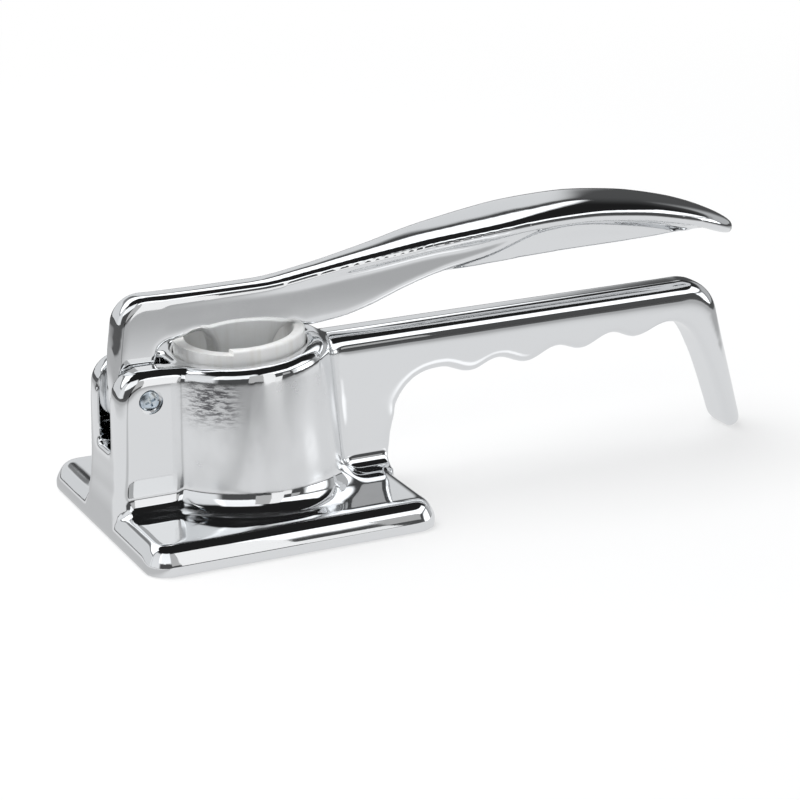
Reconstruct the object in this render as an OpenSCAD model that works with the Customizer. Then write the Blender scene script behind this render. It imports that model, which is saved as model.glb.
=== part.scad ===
// Table-top garlic press: chromed casting with a lift-out sieve cup,
// and a hinged lever that carries a rocking plunger.
// Millimetres. +X runs from the barrel along the handle, +Y is the far side,
// +Z is up. The origin is on the table, under the middle of the press.
// The sub-parts are drawn about the barrel's axis and then placed.

/* [Base plate] */
// Length of the base plate along X
base_length = 97; // [80:0.5:125]
// Depth of the base plate along Y
base_depth = 92; // [74:0.5:120]
// Height of the base plate's flat top above the table
base_height = 9.2; // [7:0.1:14]
// Radius of the base plate's corners in plan
base_corner = 8; // [6.8:0.1:14]
// Radius of the rounding over the base plate's upper edges
base_edge = 6.4; // [3:0.1:6.6]
// Thickness of the plate over the hollow underside
base_skin = 3.6; // [2:0.1:6]
// Thickness of the base plate's side walls round the hollow
base_wall = 7.6; // [4:0.1:12]

/* [Barrel] */
// Outer radius of the barrel
barrel_radius = 28; // [24.5:0.1:32]
// How much wider the barrel is at its foot than at its rim, on the radius
barrel_flare = 2.2; // [0.5:0.1:4]
// Height of the barrel's rim above the table
rim_height = 54.6; // [46:0.1:66]
// Radius of the rounding round the barrel's rim
rim_round = 3.4; // [1:0.1:5]
// Radius of the fillet between the barrel and the base plate
foot_fillet = 6.8; // [2:0.1:8]
// Width of the seat that carries the sieve cup
seat_width = 3; // [1.5:0.1:5]

/* [Sieve cup] */
// Outer radius of the sieve cup
cup_radius = 20.7; // [18:0.1:22.5]
// Thickness of the sieve cup's wall
cup_wall = 3.5; // [2:0.1:4.5]
// Height by which the cup stands out of the barrel
cup_stand = 4.1; // [2:0.1:7]
// Depth of the cup from its rim to its underside
cup_depth = 37.2; // [35:0.1:42]
// Thickness of the ledge inside the bottom of the cup
cup_ledge = 2; // [1:0.1:3]
// Width of the ledge inside the bottom of the cup
cup_ledge_width = 2.6; // [1:0.1:4]
// Depth of the relief in the cup's rim on the hinge side
cup_relief = 1.4; // [0.5:0.1:2.5]
// Radial clearance between the cup and the barrel's bore
cup_clearance = 0.3; // [0.1:0.05:0.8]

/* [Sieve plate] */
// Thickness of the perforated plate
sieve_thickness = 1.2; // [0.6:0.1:1.6]
// Diameter of each hole in the plate
sieve_hole = 2; // [1:0.1:2.6]
// Spacing of the rings of holes
sieve_pitch = 3.3; // [3:0.1:4]
// Number of rings of holes round the middle one
sieve_rings = 4; // [2:1:4]
// Radial clearance between the plate and the cup
sieve_clearance = 0.2; // [0.1:0.05:0.5]

/* [Yoke] */
// Distance from the barrel's axis to the yoke's rear face
yoke_rear = 46; // [43.5:0.1:50]
// Thickness of the yoke across Y
yoke_width = 27.8; // [22:0.1:36]
// Height of the yoke's two ears above the table
yoke_height = 53.4; // [50:0.1:60]
// Radius of the ears' upper rear corner
yoke_corner = 9.5; // [4:0.1:12]
// Radius of the yoke's outer edges
yoke_edge = 3.5; // [1:0.1:4.5]
// Width of the slot between the ears
slot_width = 11.2; // [9.9:0.1:13]
// Height of the slot's floor above the table
slot_floor = 27; // [20:0.1:30]
// Radius of the fillets between the yoke and the barrel
yoke_fillet = 2; // [1:0.1:4]

/* [Handle] */
// Thickness of the fixed handle across Y
handle_width = 15.2; // [12:0.1:20]
// Height of the handle's top above the table
handle_top = 54.4; // [48:0.1:60]
// Radius along the handle's upper edges
handle_edge = 5.6; // [1:0.1:6.5]
// Distance from the barrel's axis to the web's free edge at the base plate
web_foot = 48; // [44:0.1:48.4]
// Distance from the barrel's axis to the web's free edge under the grip
web_reach = 51.6; // [49:0.1:56]
// Radius between the web's free edge and the finger grip
web_radius = 12.3; // [8:0.1:14]
// Distance from the barrel's axis to the first finger groove
groove_first = 67.4; // [65:0.1:72]
// Height of the first finger groove's top above the table
groove_height = 38.3; // [34:0.1:44]
// Spacing of the finger grooves
groove_pitch = 21.4; // [18:0.1:24]
// Depth of the finger grooves
groove_depth = 3; // [1.5:0.1:4]
// Slope of the row of grooves in degrees
groove_slope = 2.3; // [0:0.1:4]
// Radius between the last groove and the leg
leg_inner_radius = 10; // [6:0.1:12]
// Radius between the handle's top and the leg
leg_outer_radius = 14; // [10:0.1:18]
// Distance from the barrel's axis to the leg's outer side at the table
leg_reach = 185.4; // [175:0.1:200]
// Thickness of the leg at the table
leg_thickness = 7.6; // [6:0.1:12]
// Slope of the leg's inner side from upright in degrees
leg_inner_slope = 18.8; // [12:0.1:22]
// Slope of the leg's outer side from upright in degrees
leg_outer_slope = 16; // [10:0.1:20]
// Radius between the handle's web and the barrel
web_fillet = 6; // [2:0.1:8]

/* [Lever] */
// Thickness of the lever's web across Y
lever_width = 9.3; // [7:0.1:9.6]
// Height of the lever's flat rear top above the table
lever_top = 74.2; // [70:0.1:80]
// Distance from the hinge to the lever's rear face
lever_rear = 8.3; // [7:0.1:10]
// Distance from the hinge to the front face of the lever's hub
lever_front = 5.7; // [4.5:0.1:6.5]
// Radius of the lever's upper rear corner
lever_corner = 12; // [5:0.1:13]
// Radius of the hub's lower end about the hinge
hub_radius = 10.2; // [7:0.1:10.2]
// Radius along the lever's upper edges
lever_edge = 3.6; // [1:0.1:4]
// Distance from the barrel's axis to where the lever starts to rise
rise_start = 11; // [4:0.1:20]
// Slope of the rising part in degrees
rise_slope = 12.1; // [8:0.1:16]
// Distance from the barrel's axis to the grip's highest point
grip_crest = 107; // [100:0.5:120]
// Height of the grip's highest point above the table
grip_top = 89.4; // [87:0.1:92]
// Radius of the grip's back beyond its highest point
grip_radius = 175; // [150:1:220]
// Distance from the barrel's axis to the grip's tip
grip_reach = 181; // [170:0.5:195]
// Distance from the barrel's axis to where the web starts to widen
neck_x = 24; // [18:0.5:36]
// Distance from the barrel's axis to where the grip reaches its full width
grip_full = 104; // [90:0.5:120]
// Width of the grip
grip_width = 28; // [22:0.5:34]
// Drop of the grip's rounded back from its middle to its lips
grip_crown = 4.4; // [2:0.1:6]
// Thickness of the grip's lips
lip_thickness = 2.6; // [1.5:0.1:4]
// Height of the rib's lower edge at the grip's near end
rib_height = 69; // [66:0.1:72]
// Height of the rib's lower edge at the tip
rib_tip_height = 71.9; // [70:0.1:74]
// Half width of the tongue that reaches into the cup
tongue_half = 9.6; // [7:0.1:10.4]

/* [Hinge] */
// Distance from the barrel's axis to the hinge
hinge_x = 35; // [33.5:0.1:37]
// Height of the hinge above the table
hinge_z = 44.5; // [42:0.1:46]
// Radius of the hinge sleeve
sleeve_radius = 2.8; // [2.2:0.1:3.4]
// Radius of the sleeve's flange
flange_radius = 3.6; // [3.4:0.05:4.4]
// Radius of the screw's head
screw_head = 3.3; // [2.4:0.1:4]
// Radius of the screw's shank
screw_shank = 1.6; // [1:0.1:1.9]
// Radius of the recess round the screw's head
recess_radius = 3.9; // [3.7:0.1:5]
// Depth of the recess round the screw's head
recess_depth = 2.2; // [1.5:0.1:3]
// Height of the screw's head and of the sleeve's flange
head_height = 1.7; // [1:0.1:2.4]
// Running clearance between the sleeve and the lever
hinge_clearance = 0.06; // [0.02:0.01:0.1]

/* [Plunger] */
// Height of the plunger's pivot above the sieve plate with the lever closed
pivot_rise = 8.8; // [8:0.1:10]
// Distance from the hinge to the plunger's pivot along X
pivot_reach = 34.25; // [34:0.05:34.6]
// Radial clearance between the plunger's rounded rim and the cup
plunger_clearance = 1.8; // [1.6:0.05:2.4]
// Gap between the plunger's face and the sieve plate with the lever closed
plunger_gap = 1.8; // [1.4:0.1:2.2]
// Thickness of the plunger's disc
plunger_disc = 6; // [5:0.1:6.4]
// Radius of the plunger's pin
pin_radius = 2; // [1.5:0.1:2.5]
// Radius of the lugs round the pin
lug_radius = 4.5; // [3.5:0.1:5.5]
// Thickness of each lug
lug_thickness = 4; // [2.5:0.1:5]
// Depth to which the tongue reaches below the pivot
tongue_depth = 3.6; // [3:0.1:4]
// Gap between the tongue's end and the bottom of the plunger's pocket
rock_gap = 1.4; // [1.3:0.1:2]

/* [Hidden] */
$fn = 96;
// barrel and cup
bore_radius = cup_radius + cup_clearance;
drop_radius = bore_radius - seat_width;
cup_inner = cup_radius - cup_wall;
cup_top = rim_height + cup_stand;
cup_bottom = cup_top - cup_depth;
sieve_bottom = cup_bottom + cup_ledge;
sieve_top = sieve_bottom + sieve_thickness;
relief_x = -(tongue_half - 0.1);
base_x = base_length / 2;
base_y = base_depth / 2;
// yoke
yoke_y = yoke_width / 2;
slot_y = slot_width / 2;
slot_end = -hinge_x + hub_radius + 0.3;
// handle
handle_y = handle_width / 2;
wave_steps = 14;
groove_end_x = groove_first + 4 * groove_pitch * cos(groove_slope);
groove_end_z = groove_height + 4 * groove_pitch * sin(groove_slope);
leg_foot = leg_reach - leg_thickness;
leg_in_x = leg_foot - tan(leg_inner_slope) * (groove_end_z - leg_inner_radius)
    - leg_inner_radius / cos(leg_inner_slope);
leg_out_z = handle_top - leg_outer_radius;
leg_out_x = leg_reach - tan(leg_outer_slope) * leg_out_z
    - leg_outer_radius / cos(leg_outer_slope);
foot_round = 2.2;
foot_x = leg_reach - tan(leg_outer_slope) * foot_round;
middle_x = (foot_x - base_x) / 2;
// lever
lever_y = lever_width / 2;
grip_y = grip_width / 2;
hub_rear_x = -hinge_x - lever_rear;
hub_front_x = -hinge_x + lever_front;
rise_len_k = tan(rise_slope);
rear_radius = ((grip_top - lever_top) - rise_len_k * (grip_crest - rise_start))
    / ((1 - cos(rise_slope)) - rise_len_k * sin(rise_slope));
rise_end = grip_crest - rear_radius * sin(rise_slope);
rise_end_z = grip_top - rear_radius * (1 - cos(rise_slope));
back_sides = 14;
notch_z = cup_top + 1.3;
gap_z = rim_height + 3.6;
tip_x = grip_reach - grip_y;
back_stations = concat(
    [for (i = [0:3]) rise_start - 4 + 8 * i / 3],
    [for (i = [1:18]) rise_start + 4 + (tip_x - rise_start - 4) * i / 18],
    [for (i = [1:8]) tip_x + grip_y * sin(i * 90 / 8) * 0.999]);
pivot_x = -hinge_x + pivot_reach;
pivot_z = sieve_top + pivot_rise;
tongue_bottom = pivot_z - tongue_depth;
// hinge
head_seat = yoke_y - recess_depth;
// plunger
plunger_radius = cup_inner - plunger_clearance;
face_z = sieve_top + plunger_gap;
disc_top = face_z + plunger_disc;
pocket_z = pivot_z - tongue_depth - rock_gap;
pocket_x = tongue_half + 0.8;
pocket_y = lever_y + 0.4;
pin_half = pocket_y + lug_thickness - 0.4;

// Sub-part to draw, or all of them

body_casting();
sieve_cup();
sieve_plate();
lever();
hinge_screw();
hinge_sleeve();
plunger();
plunger_pin();

// A profile drawn in X and Z, given a thickness across Y
module side(half) {
    rotate([90, 0, 0]) translate([0, 0, -half]) linear_extrude(height = 2 * half) children();
}

// A section drawn in Y and Z, drawn out along X from x0 to x1
module along(x0, x1) {
    translate([x0, 0, 0]) rotate([90, 0, 90]) linear_extrude(height = x1 - x0) children();
}

// A section of half width hy up to height z, with rounded upper corners
module arch(hy, z, r) {
    translate([-hy, -1]) square([2 * hy, z + 1 - r]);
    translate([-hy + r, -1]) square([2 * hy - 2 * r, z + 1]);
    for (s = [-1, 1]) translate([s * (hy - r), z - r]) circle(r);
}

// A plan rectangle with rounded corners
module plan(hx, hy, r) {
    square([2 * hx, 2 * hy - 2 * r], center = true);
    square([2 * hx - 2 * r, 2 * hy], center = true);
    for (sx = [-1, 1], sy = [-1, 1])
        translate([sx * (hx - r), sy * (hy - r)]) circle(r);
}

// The base plate's outer form with its rounded upper edges and flat underside
module base_form() difference() {
    inx = base_x - base_edge;
    iny = base_y - base_edge;
    ez = base_height - base_edge;
    corner = base_corner - base_edge;
    union() {
        linear_extrude(height = ez) plan(base_x, base_y, base_corner);
        linear_extrude(height = base_height) plan(inx, iny, corner);
        // straight rounded edges
        for (s = [-1, 1]) {
            translate([-(inx - corner), s * iny, ez]) rotate([0, 90, 0])
                cylinder(r = base_edge, h = 2 * (inx - corner));
            translate([s * inx, iny - corner, ez]) rotate([90, 0, 0])
                cylinder(r = base_edge, h = 2 * (iny - corner));
        }
        // rounded corners
        for (sx = [-1, 1], sy = [-1, 1])
            translate([sx * (inx - corner), sy * (iny - corner), ez])
                rotate_extrude() intersection() {
                    translate([corner, 0]) circle(base_edge);
                    square([base_corner + 1, base_edge + 1]);
                }
    }
    translate([-base_x - 1, -base_y - 1, -base_edge - 1])
        cube([2 * base_x + 2, 2 * base_y + 2, base_edge + 1]);
}

// The hollow under the base plate, with a collar left round the barrel's outlet
module base_hollow() {
    difference() {
        translate([0, 0, -1]) linear_extrude(height = base_height - base_skin + 1)
            plan(base_x - base_wall, base_y - base_wall, base_corner - base_edge + 1);
        translate([0, 0, -2]) cylinder(r = bore_radius, h = base_height + 2);
    }
}

// The barrel's outer form with its rounded rim and the fillet at its foot
module barrel_form() {
    rotate_extrude() {
        difference() {
            union() {
                polygon([[0, 0], [barrel_radius + barrel_flare, 0],
                         [barrel_radius + barrel_flare, base_height + foot_fillet],
                         [barrel_radius, rim_height - rim_round], [0, rim_height - rim_round]]);
                square([barrel_radius - rim_round, rim_height]);
                translate([barrel_radius - rim_round, rim_height - rim_round]) circle(rim_round);
                square([barrel_radius + barrel_flare + foot_fillet, base_height + foot_fillet]);
            }
            translate([barrel_radius + barrel_flare + foot_fillet, base_height + foot_fillet])
                circle(foot_fillet);
            translate([-barrel_radius, -1]) square([barrel_radius, rim_height + 2]);
        }
    }
}

// A fillet along X between an upright side at y and the base plate
module floor_fillet(x0, x1, y, r) {
    for (s = [-1, 1]) along(x0, x1) difference() {
        translate([s > 0 ? y - 1 : -y - r, base_height - base_edge]) square([r + 1, r + base_edge]);
        translate([s * (y + r), base_height + r]) circle(r);
    }
}

// A fillet between an upright flat side at y and the barrel, on the side dir
module barrel_fillet(y, r, z1, dir) {
    d = barrel_radius + r;
    cx = sqrt(d * d - (y + r) * (y + r));
    for (s = [-1, 1]) translate([0, 0, base_height - 1]) linear_extrude(height = z1 - base_height + 1)
        difference() {
            polygon([[dir * (barrel_radius - 4), s * (y - 1)], [dir * cx, s * (y - 1)], [dir * cx, s * (y + r)],
                     [dir * cx * barrel_radius / d, s * (y + r) * barrel_radius / d]]);
            translate([dir * cx, s * (y + r)]) circle(r);
        }
}

// The yoke: a block behind the barrel with rounded edges
module yoke_form() {
    intersection() {
        side(yoke_y) {
            translate([-yoke_rear, 0]) square([yoke_rear, yoke_height - yoke_corner]);
            translate([-yoke_rear + yoke_corner, 0]) square([yoke_rear - yoke_corner, yoke_height]);
            translate([-yoke_rear + yoke_corner, yoke_height - yoke_corner]) circle(yoke_corner);
        }
        along(-yoke_rear - 1, 1) arch(yoke_y, yoke_height, yoke_edge);
        linear_extrude(height = yoke_height + 1) {
            translate([-yoke_rear + yoke_edge, -yoke_y]) square([yoke_rear, 2 * yoke_y]);
            translate([-yoke_rear, -yoke_y + yoke_edge]) square([yoke_rear, 2 * yoke_y - 2 * yoke_edge]);
            for (s = [-1, 1]) translate([-yoke_rear + yoke_edge, s * (yoke_y - yoke_edge)]) circle(yoke_edge);
        }
    }
    floor_fillet(-yoke_rear + yoke_edge, 0, yoke_y, foot_fillet);
}

// The row of finger grooves: everything below the handle's wavy underside
module groove_cut() {
    translate([groove_first, groove_height]) rotate(groove_slope)
        polygon(concat([[0, -40]],
            [for (i = [0:4 * wave_steps]) [i * groove_pitch / wave_steps,
                -groove_depth * (1 - cos(360 * i / wave_steps)) / 2]],
            [[4 * groove_pitch, -40]]));
}

// The handle's side profile: web, grip and leg
module handle_profile() {
    arc_z = groove_height - web_radius;
    arc_x = web_reach + web_radius;
    difference() {
        union() {
            // web and bar
            polygon([[0, 0], [web_foot, 0], [web_foot, base_height], [web_reach, arc_z],
                     [arc_x, arc_z], [leg_in_x, arc_z], [leg_in_x, leg_out_z], [leg_out_x, leg_out_z],
                     [leg_out_x, handle_top], [0, handle_top]]);
            // outer corner
            translate([leg_out_x, leg_out_z]) circle(leg_outer_radius);
            // leg
            difference() {
                polygon([[leg_foot, 0], [leg_reach, 0],
                         [leg_reach - tan(leg_outer_slope) * (leg_out_z + leg_outer_radius * sin(leg_outer_slope)),
                          leg_out_z + leg_outer_radius * sin(leg_outer_slope)],
                         [leg_out_x, leg_out_z], [leg_in_x, handle_top - 2], [leg_in_x, groove_end_z - leg_inner_radius],
                         [leg_foot - tan(leg_inner_slope) * (groove_end_z - leg_inner_radius + leg_inner_radius * sin(leg_inner_slope)),
                          groove_end_z - leg_inner_radius + leg_inner_radius * sin(leg_inner_slope)]]);
                // rounded foot
                translate([leg_reach - foot_round, -1]) square([foot_round + 1, foot_round + 1]);
            }
            translate([leg_reach - foot_round - tan(leg_outer_slope) * foot_round, foot_round]) circle(foot_round);
        }
        // gap under the grip
        difference() {
            polygon([[web_foot + 30, -1], [web_foot + 30, 0], [arc_x, arc_z], [arc_x, groove_height],
                     [groove_first, groove_height], [groove_first, -1]]);
        }
        translate([arc_x, arc_z]) circle(web_radius);
        groove_cut();
        translate([leg_in_x, groove_end_z - leg_inner_radius]) circle(leg_inner_radius);
        polygon([[groove_end_x, groove_end_z], [leg_in_x, groove_end_z], [leg_in_x, groove_end_z - leg_inner_radius],
                 [leg_in_x, 0], [groove_end_x, 0]]);
        polygon([[leg_in_x - 1, -1], [leg_foot + tan(leg_inner_slope), -1],
                 [leg_foot - tan(leg_inner_slope) * (groove_end_z - leg_inner_radius + leg_inner_radius * sin(leg_inner_slope)),
                  groove_end_z - leg_inner_radius + leg_inner_radius * sin(leg_inner_slope)],
                 [leg_in_x, groove_end_z - leg_inner_radius], [leg_in_x - 1, groove_end_z - leg_inner_radius]]);
        polygon([[web_foot, -1], [web_foot, base_height], [web_reach, arc_z], [arc_x, arc_z], [arc_x + 20, -1]]);
    }
}

module handle_form() {
    intersection() {
        side(handle_y) handle_profile();
        along(-1, leg_reach + 1) arch(handle_y, handle_top, handle_edge);
    }
    floor_fillet(barrel_radius - 2, web_foot, handle_y, foot_fillet);
}

module body_casting() translate([-middle_x, 0, 0]) color([0.80, 0.81, 0.82]) {
    difference() {
        union() {
            base_form();
            barrel_form();
            yoke_form();
            handle_form();
            barrel_fillet(yoke_y, yoke_fillet, yoke_height - yoke_edge, -1);
            barrel_fillet(handle_y, web_fillet, handle_top - handle_edge, 1);
        }
        base_hollow();
        // bore for the cup, and the narrower outlet under its seat
        translate([0, 0, cup_bottom]) cylinder(r = bore_radius, h = rim_height);
        translate([0, 0, -1]) cylinder(r = drop_radius, h = rim_height);
        // slot between the ears
        translate([-yoke_rear - 1, -slot_y, slot_floor])
            cube([yoke_rear + 1 + slot_end, slot_width, rim_height]);
        // hinge holes and the recesses for the screw and the sleeve's flange
        translate([-hinge_x, 0, hinge_z]) rotate([90, 0, 0]) {
            cylinder(r = screw_shank + 0.2, h = yoke_y + 1);
            translate([0, 0, head_seat]) cylinder(r = recess_radius, h = recess_depth + 1);
            translate([0, 0, -yoke_y - 1]) cylinder(r = sleeve_radius + 0.1, h = yoke_y + 1);
            translate([0, 0, -yoke_y - 1]) cylinder(r = recess_radius, h = recess_depth + 1);
        }
    }
}

module sieve_cup() translate([-middle_x, 0, 0]) color([0.86, 0.86, 0.85]) {
    difference() {
        translate([0, 0, cup_bottom]) cylinder(r = cup_radius, h = cup_depth);
        translate([0, 0, sieve_bottom]) cylinder(r = cup_inner, h = cup_depth);
        translate([0, 0, cup_bottom - 1]) cylinder(r = cup_inner - cup_ledge_width, h = cup_depth);
        // relief in the rim on the hinge side
        translate([-cup_radius - 1, -cup_radius - 1, cup_top - cup_relief])
            cube([cup_radius + 1 + relief_x, 2 * cup_radius + 2, cup_relief + 1]);
    }
}

module sieve_plate() translate([-middle_x, 0, 0]) color([0.75, 0.76, 0.78]) {
    translate([0, 0, sieve_bottom]) difference() {
        cylinder(r = cup_inner - sieve_clearance, h = sieve_thickness);
        for (ring = [0:sieve_rings]) for (i = [0:max(1, 6 * ring) - 1])
            rotate(i * 360 / max(1, 6 * ring)) translate([ring * sieve_pitch, 0, -1])
                cylinder(d = sieve_hole, h = sieve_thickness + 2, $fn = 24);
    }
}

// Height of the lever's back at x: flat, a straight rise, then two arcs
function back_z(x) =
    x < rise_start ? lever_top
    : x < rise_end ? lever_top + (x - rise_start) * tan(rise_slope)
    : x < grip_crest ? grip_top - rear_radius + sqrt(rear_radius * rear_radius - (x - grip_crest) * (x - grip_crest))
    : grip_top - grip_radius + sqrt(grip_radius * grip_radius - (x - grip_crest) * (x - grip_crest));

// Half width of the lever's back at x: it widens from the web and ends in a round tip
function back_y(x) = let (f = max(0, min(1, (x - neck_x) / (grip_full - neck_x))),
                          g = lever_y - 0.1 + (grip_y - lever_y + 0.1) * f * f * (3 - 2 * f))
    x < tip_x ? g : g * sqrt(max(0.004, 1 - pow((x - tip_x) / grip_y, 2)));

// Drop from the middle of the back to its lips at x
function back_drop(x) = lever_edge + (grip_crown - lever_edge) * (back_y(x) - lever_y) / (grip_y - lever_y);

// Section of the back at x: a rounded upper side, thin lips and a hollow underside
function back_section(x) = let (w = back_y(x), z = back_z(x) - (x < rise_start ? 0.1 : 0), h = min(back_drop(x), w),
                                lip = min(lip_thickness, w * 0.6), inner = min(lever_y * 0.8, (w - lip) * 0.7))
    concat([for (i = [0:back_sides]) [x, -w * cos(i * 180 / back_sides), z - h * (1 - sin(i * 180 / back_sides))]],
           [[x, w - lip * 0.35, z - h - lip], [x, w - lip, z - h - lip * 0.9],
            [x, inner, z - h * 0.9], [x, -inner, z - h * 0.9],
            [x, -w + lip, z - h - lip * 0.9], [x, -w + lip * 0.35, z - h - lip]]);

// The lever's back and grip, drawn through its sections
module lever_back() {
    count = back_sides + 7;
    last = len(back_stations) - 1;
    ends = [back_stations[0], back_stations[last]];
    middle = (last + 1) * count;
    points = concat([for (x = back_stations) each back_section(x)],
        [for (x = ends) [x, 0, back_z(x) - min(back_drop(x), back_y(x)) * 0.5 - 0.1]]);
    faces = concat(
        [for (j = [0:count - 1]) [middle, (j + 1) % count, j]],
        [for (i = [0:last - 1]) for (j = [0:count - 1]) let (a = i * count + j, b = i * count + (j + 1) % count) each
            [[a, b + count, a + count], [a, b, b + count]]],
        [for (j = [0:count - 1]) [middle + 1, last * count + j, last * count + (j + 1) % count]]);
    polyhedron(points, faces, convexity = 4);
}

// The web's side profile from the hub to the grip's rib
module web_profile() {
    reach = cup_radius + 1.2;
    difference() {
        union() {
            // rear part above the ears
            translate([hub_rear_x + lever_corner, hinge_z]) square([rise_start - hub_rear_x - lever_corner, lever_top - hinge_z]);
            translate([hub_rear_x, hinge_z]) square([lever_corner, lever_top - hinge_z - lever_corner]);
            translate([hub_rear_x + lever_corner, lever_top - lever_corner]) circle(lever_corner);
            // hub
            intersection() {
                translate([-hinge_x, hinge_z]) circle(hub_radius);
                translate([hub_rear_x, hinge_z - hub_radius - 1]) square([lever_rear + lever_front, hub_radius + 2]);
            }
            // tongue
            translate([-tongue_half, tongue_bottom]) square([2 * tongue_half, lever_top - tongue_bottom]);
            // rising part and rib
            polygon([[rise_start - 1, gap_z], [reach + 4, gap_z], [cup_radius + 14, gap_z + 1.3], [cup_radius + 29, gap_z + 5.9],
                     [rise_end + 6, rib_height - 0.6], [rise_end + 15, rib_height + 0.3], [tip_x - 6, rib_tip_height],
                     [tip_x + 2, rib_tip_height + 3], [tip_x - 8, grip_top - 10], [grip_crest, grip_top - 5],
                     [rise_end, rise_end_z - 3], [rise_start, lever_top - lever_edge], [rise_start - 1, lever_top - lever_edge]]);
        }
        // notch over the hinge side of the cup and barrel
        translate([hub_front_x, hinge_z - hub_radius - 1]) square([-tongue_half - hub_front_x, notch_z - 3 - hinge_z + hub_radius + 1]);
        polygon([[hub_front_x, notch_z - 3.1], [hub_front_x + 1, notch_z - 1.6], [hub_front_x + 2.8, notch_z - 0.8],
                 [-tongue_half - 5, notch_z + 1.7], [-tongue_half - 3, notch_z + 1.6], [-tongue_half - 1, notch_z - 0.8],
                 [-tongue_half, notch_z - 3.1]]);
        // notch over the far wall of the cup
        polygon([[tongue_half, tongue_bottom - 1], [tongue_half, notch_z - 6], [tongue_half + 2.4, notch_z - 1.6],
                 [tongue_half + 6.4, notch_z + 0.6], [reach - 0.6, notch_z + 0.6], [reach, notch_z - 0.4],
                 [reach, gap_z - 1], [reach, tongue_bottom - 1]]);
    }
}

module lever() translate([-middle_x, 0, 0]) color([0.80, 0.81, 0.82]) {
    difference() {
        union() {
            // flat rear part with rounded upper edges
            intersection() {
                side(lever_y) web_profile();
                along(hub_rear_x - 1, rise_start + 4) arch(lever_y, lever_top, lever_edge);
            }
            // rising part and rib
            intersection() {
                side(lever_y) web_profile();
                translate([rise_start, -lever_y - 1, 0]) cube([grip_reach, lever_width + 2, grip_top]);
            }
            lever_back();
        }
        // hinge bore and pin bore
        translate([-hinge_x, 0, hinge_z]) rotate([90, 0, 0])
            translate([0, 0, -lever_y - 1]) cylinder(r = sleeve_radius + hinge_clearance, h = lever_width + 2);
        translate([pivot_x, 0, pivot_z]) rotate([90, 0, 0])
            translate([0, 0, -lever_y - 1]) cylinder(r = pin_radius + 0.02, h = lever_width + 2);
    }
}

module hinge_screw() translate([-middle_x, 0, 0]) color([0.70, 0.74, 0.80]) {
    translate([-hinge_x, 0, hinge_z]) rotate([90, 0, 0]) difference() {
        union() {
            translate([0, 0, -yoke_y + 6]) cylinder(r = screw_shank, h = yoke_y - 6 + head_seat + 0.5);
            translate([0, 0, head_seat]) cylinder(r = screw_head, h = head_height);
        }
        // cross recess
        for (a = [0, 90]) rotate(a)
            translate([-screw_head * 0.55, -0.4, head_seat + 0.6]) cube([screw_head * 1.1, 0.8, head_height]);
    }
}

module hinge_sleeve() translate([-middle_x, 0, 0]) color([0.70, 0.74, 0.80]) {
    translate([-hinge_x, 0, hinge_z]) rotate([90, 0, 0]) difference() {
        union() {
            translate([0, 0, -head_seat]) cylinder(r = sleeve_radius, h = head_seat + slot_y);
            translate([0, 0, -head_seat - head_height]) cylinder(r = flange_radius, h = head_height);
        }
        translate([0, 0, -yoke_y + 4]) cylinder(r = screw_shank + 0.05, h = yoke_width);
    }
}

module plunger() translate([-middle_x, 0, 0]) color([0.84, 0.84, 0.83]) {
    difference() {
        union() {
            // disc with a ball-shaped rim about the pivot
            intersection() {
                translate([pivot_x, 0, pivot_z]) sphere(plunger_radius);
                translate([pivot_x, 0, face_z]) cylinder(r = plunger_radius + 1, h = plunger_disc);
            }
            // lugs
            for (s = [-1, 1]) translate([pivot_x, s * (pocket_y + lug_thickness / 2), 0]) {
                translate([0, 0, pivot_z]) rotate([90, 0, 0]) cylinder(r = lug_radius, h = lug_thickness, center = true);
                translate([-lug_radius, -lug_thickness / 2, face_z + 1]) cube([2 * lug_radius, lug_thickness, pivot_z - face_z - 1]);
            }
        }
        translate([-pocket_x, -pocket_y, pocket_z]) cube([2 * pocket_x, 2 * pocket_y, 2 * lug_radius + 20]);
        translate([pivot_x, 0, pivot_z]) rotate([90, 0, 0])
            translate([0, 0, -plunger_radius]) cylinder(r = pin_radius + 0.06, h = 2 * plunger_radius);
    }
}

module plunger_pin() translate([-middle_x, 0, 0]) color([0.72, 0.73, 0.75]) {
    translate([pivot_x, 0, pivot_z]) rotate([90, 0, 0])
        translate([0, 0, -pin_half]) cylinder(r = pin_radius, h = 2 * pin_half);
}
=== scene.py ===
"""Dressed model of a table-top garlic press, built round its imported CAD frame."""
import logging
import math
from dataclasses import dataclass
from enum import Enum
from typing import Callable, Iterable, Sequence, Union

import bpy
from mathutils import Matrix, Vector


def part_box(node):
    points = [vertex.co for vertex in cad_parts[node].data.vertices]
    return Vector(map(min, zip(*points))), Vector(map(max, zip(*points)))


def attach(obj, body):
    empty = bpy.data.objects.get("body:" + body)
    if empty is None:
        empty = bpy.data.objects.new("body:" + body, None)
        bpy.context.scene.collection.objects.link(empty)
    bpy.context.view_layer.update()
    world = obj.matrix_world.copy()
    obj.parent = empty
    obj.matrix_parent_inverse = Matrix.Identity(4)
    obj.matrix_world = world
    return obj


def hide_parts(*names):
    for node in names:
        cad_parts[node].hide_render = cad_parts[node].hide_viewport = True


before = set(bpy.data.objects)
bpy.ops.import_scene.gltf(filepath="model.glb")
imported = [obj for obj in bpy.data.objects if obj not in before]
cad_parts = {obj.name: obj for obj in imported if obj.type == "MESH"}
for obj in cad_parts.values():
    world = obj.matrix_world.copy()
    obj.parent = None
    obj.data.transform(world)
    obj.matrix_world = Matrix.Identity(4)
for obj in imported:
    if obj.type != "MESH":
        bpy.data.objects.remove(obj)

LOG = logging.getLogger("press")
MM = 0.001
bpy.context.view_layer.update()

Point2 = tuple[float, float]
Point3 = tuple[float, float, float]

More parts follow.
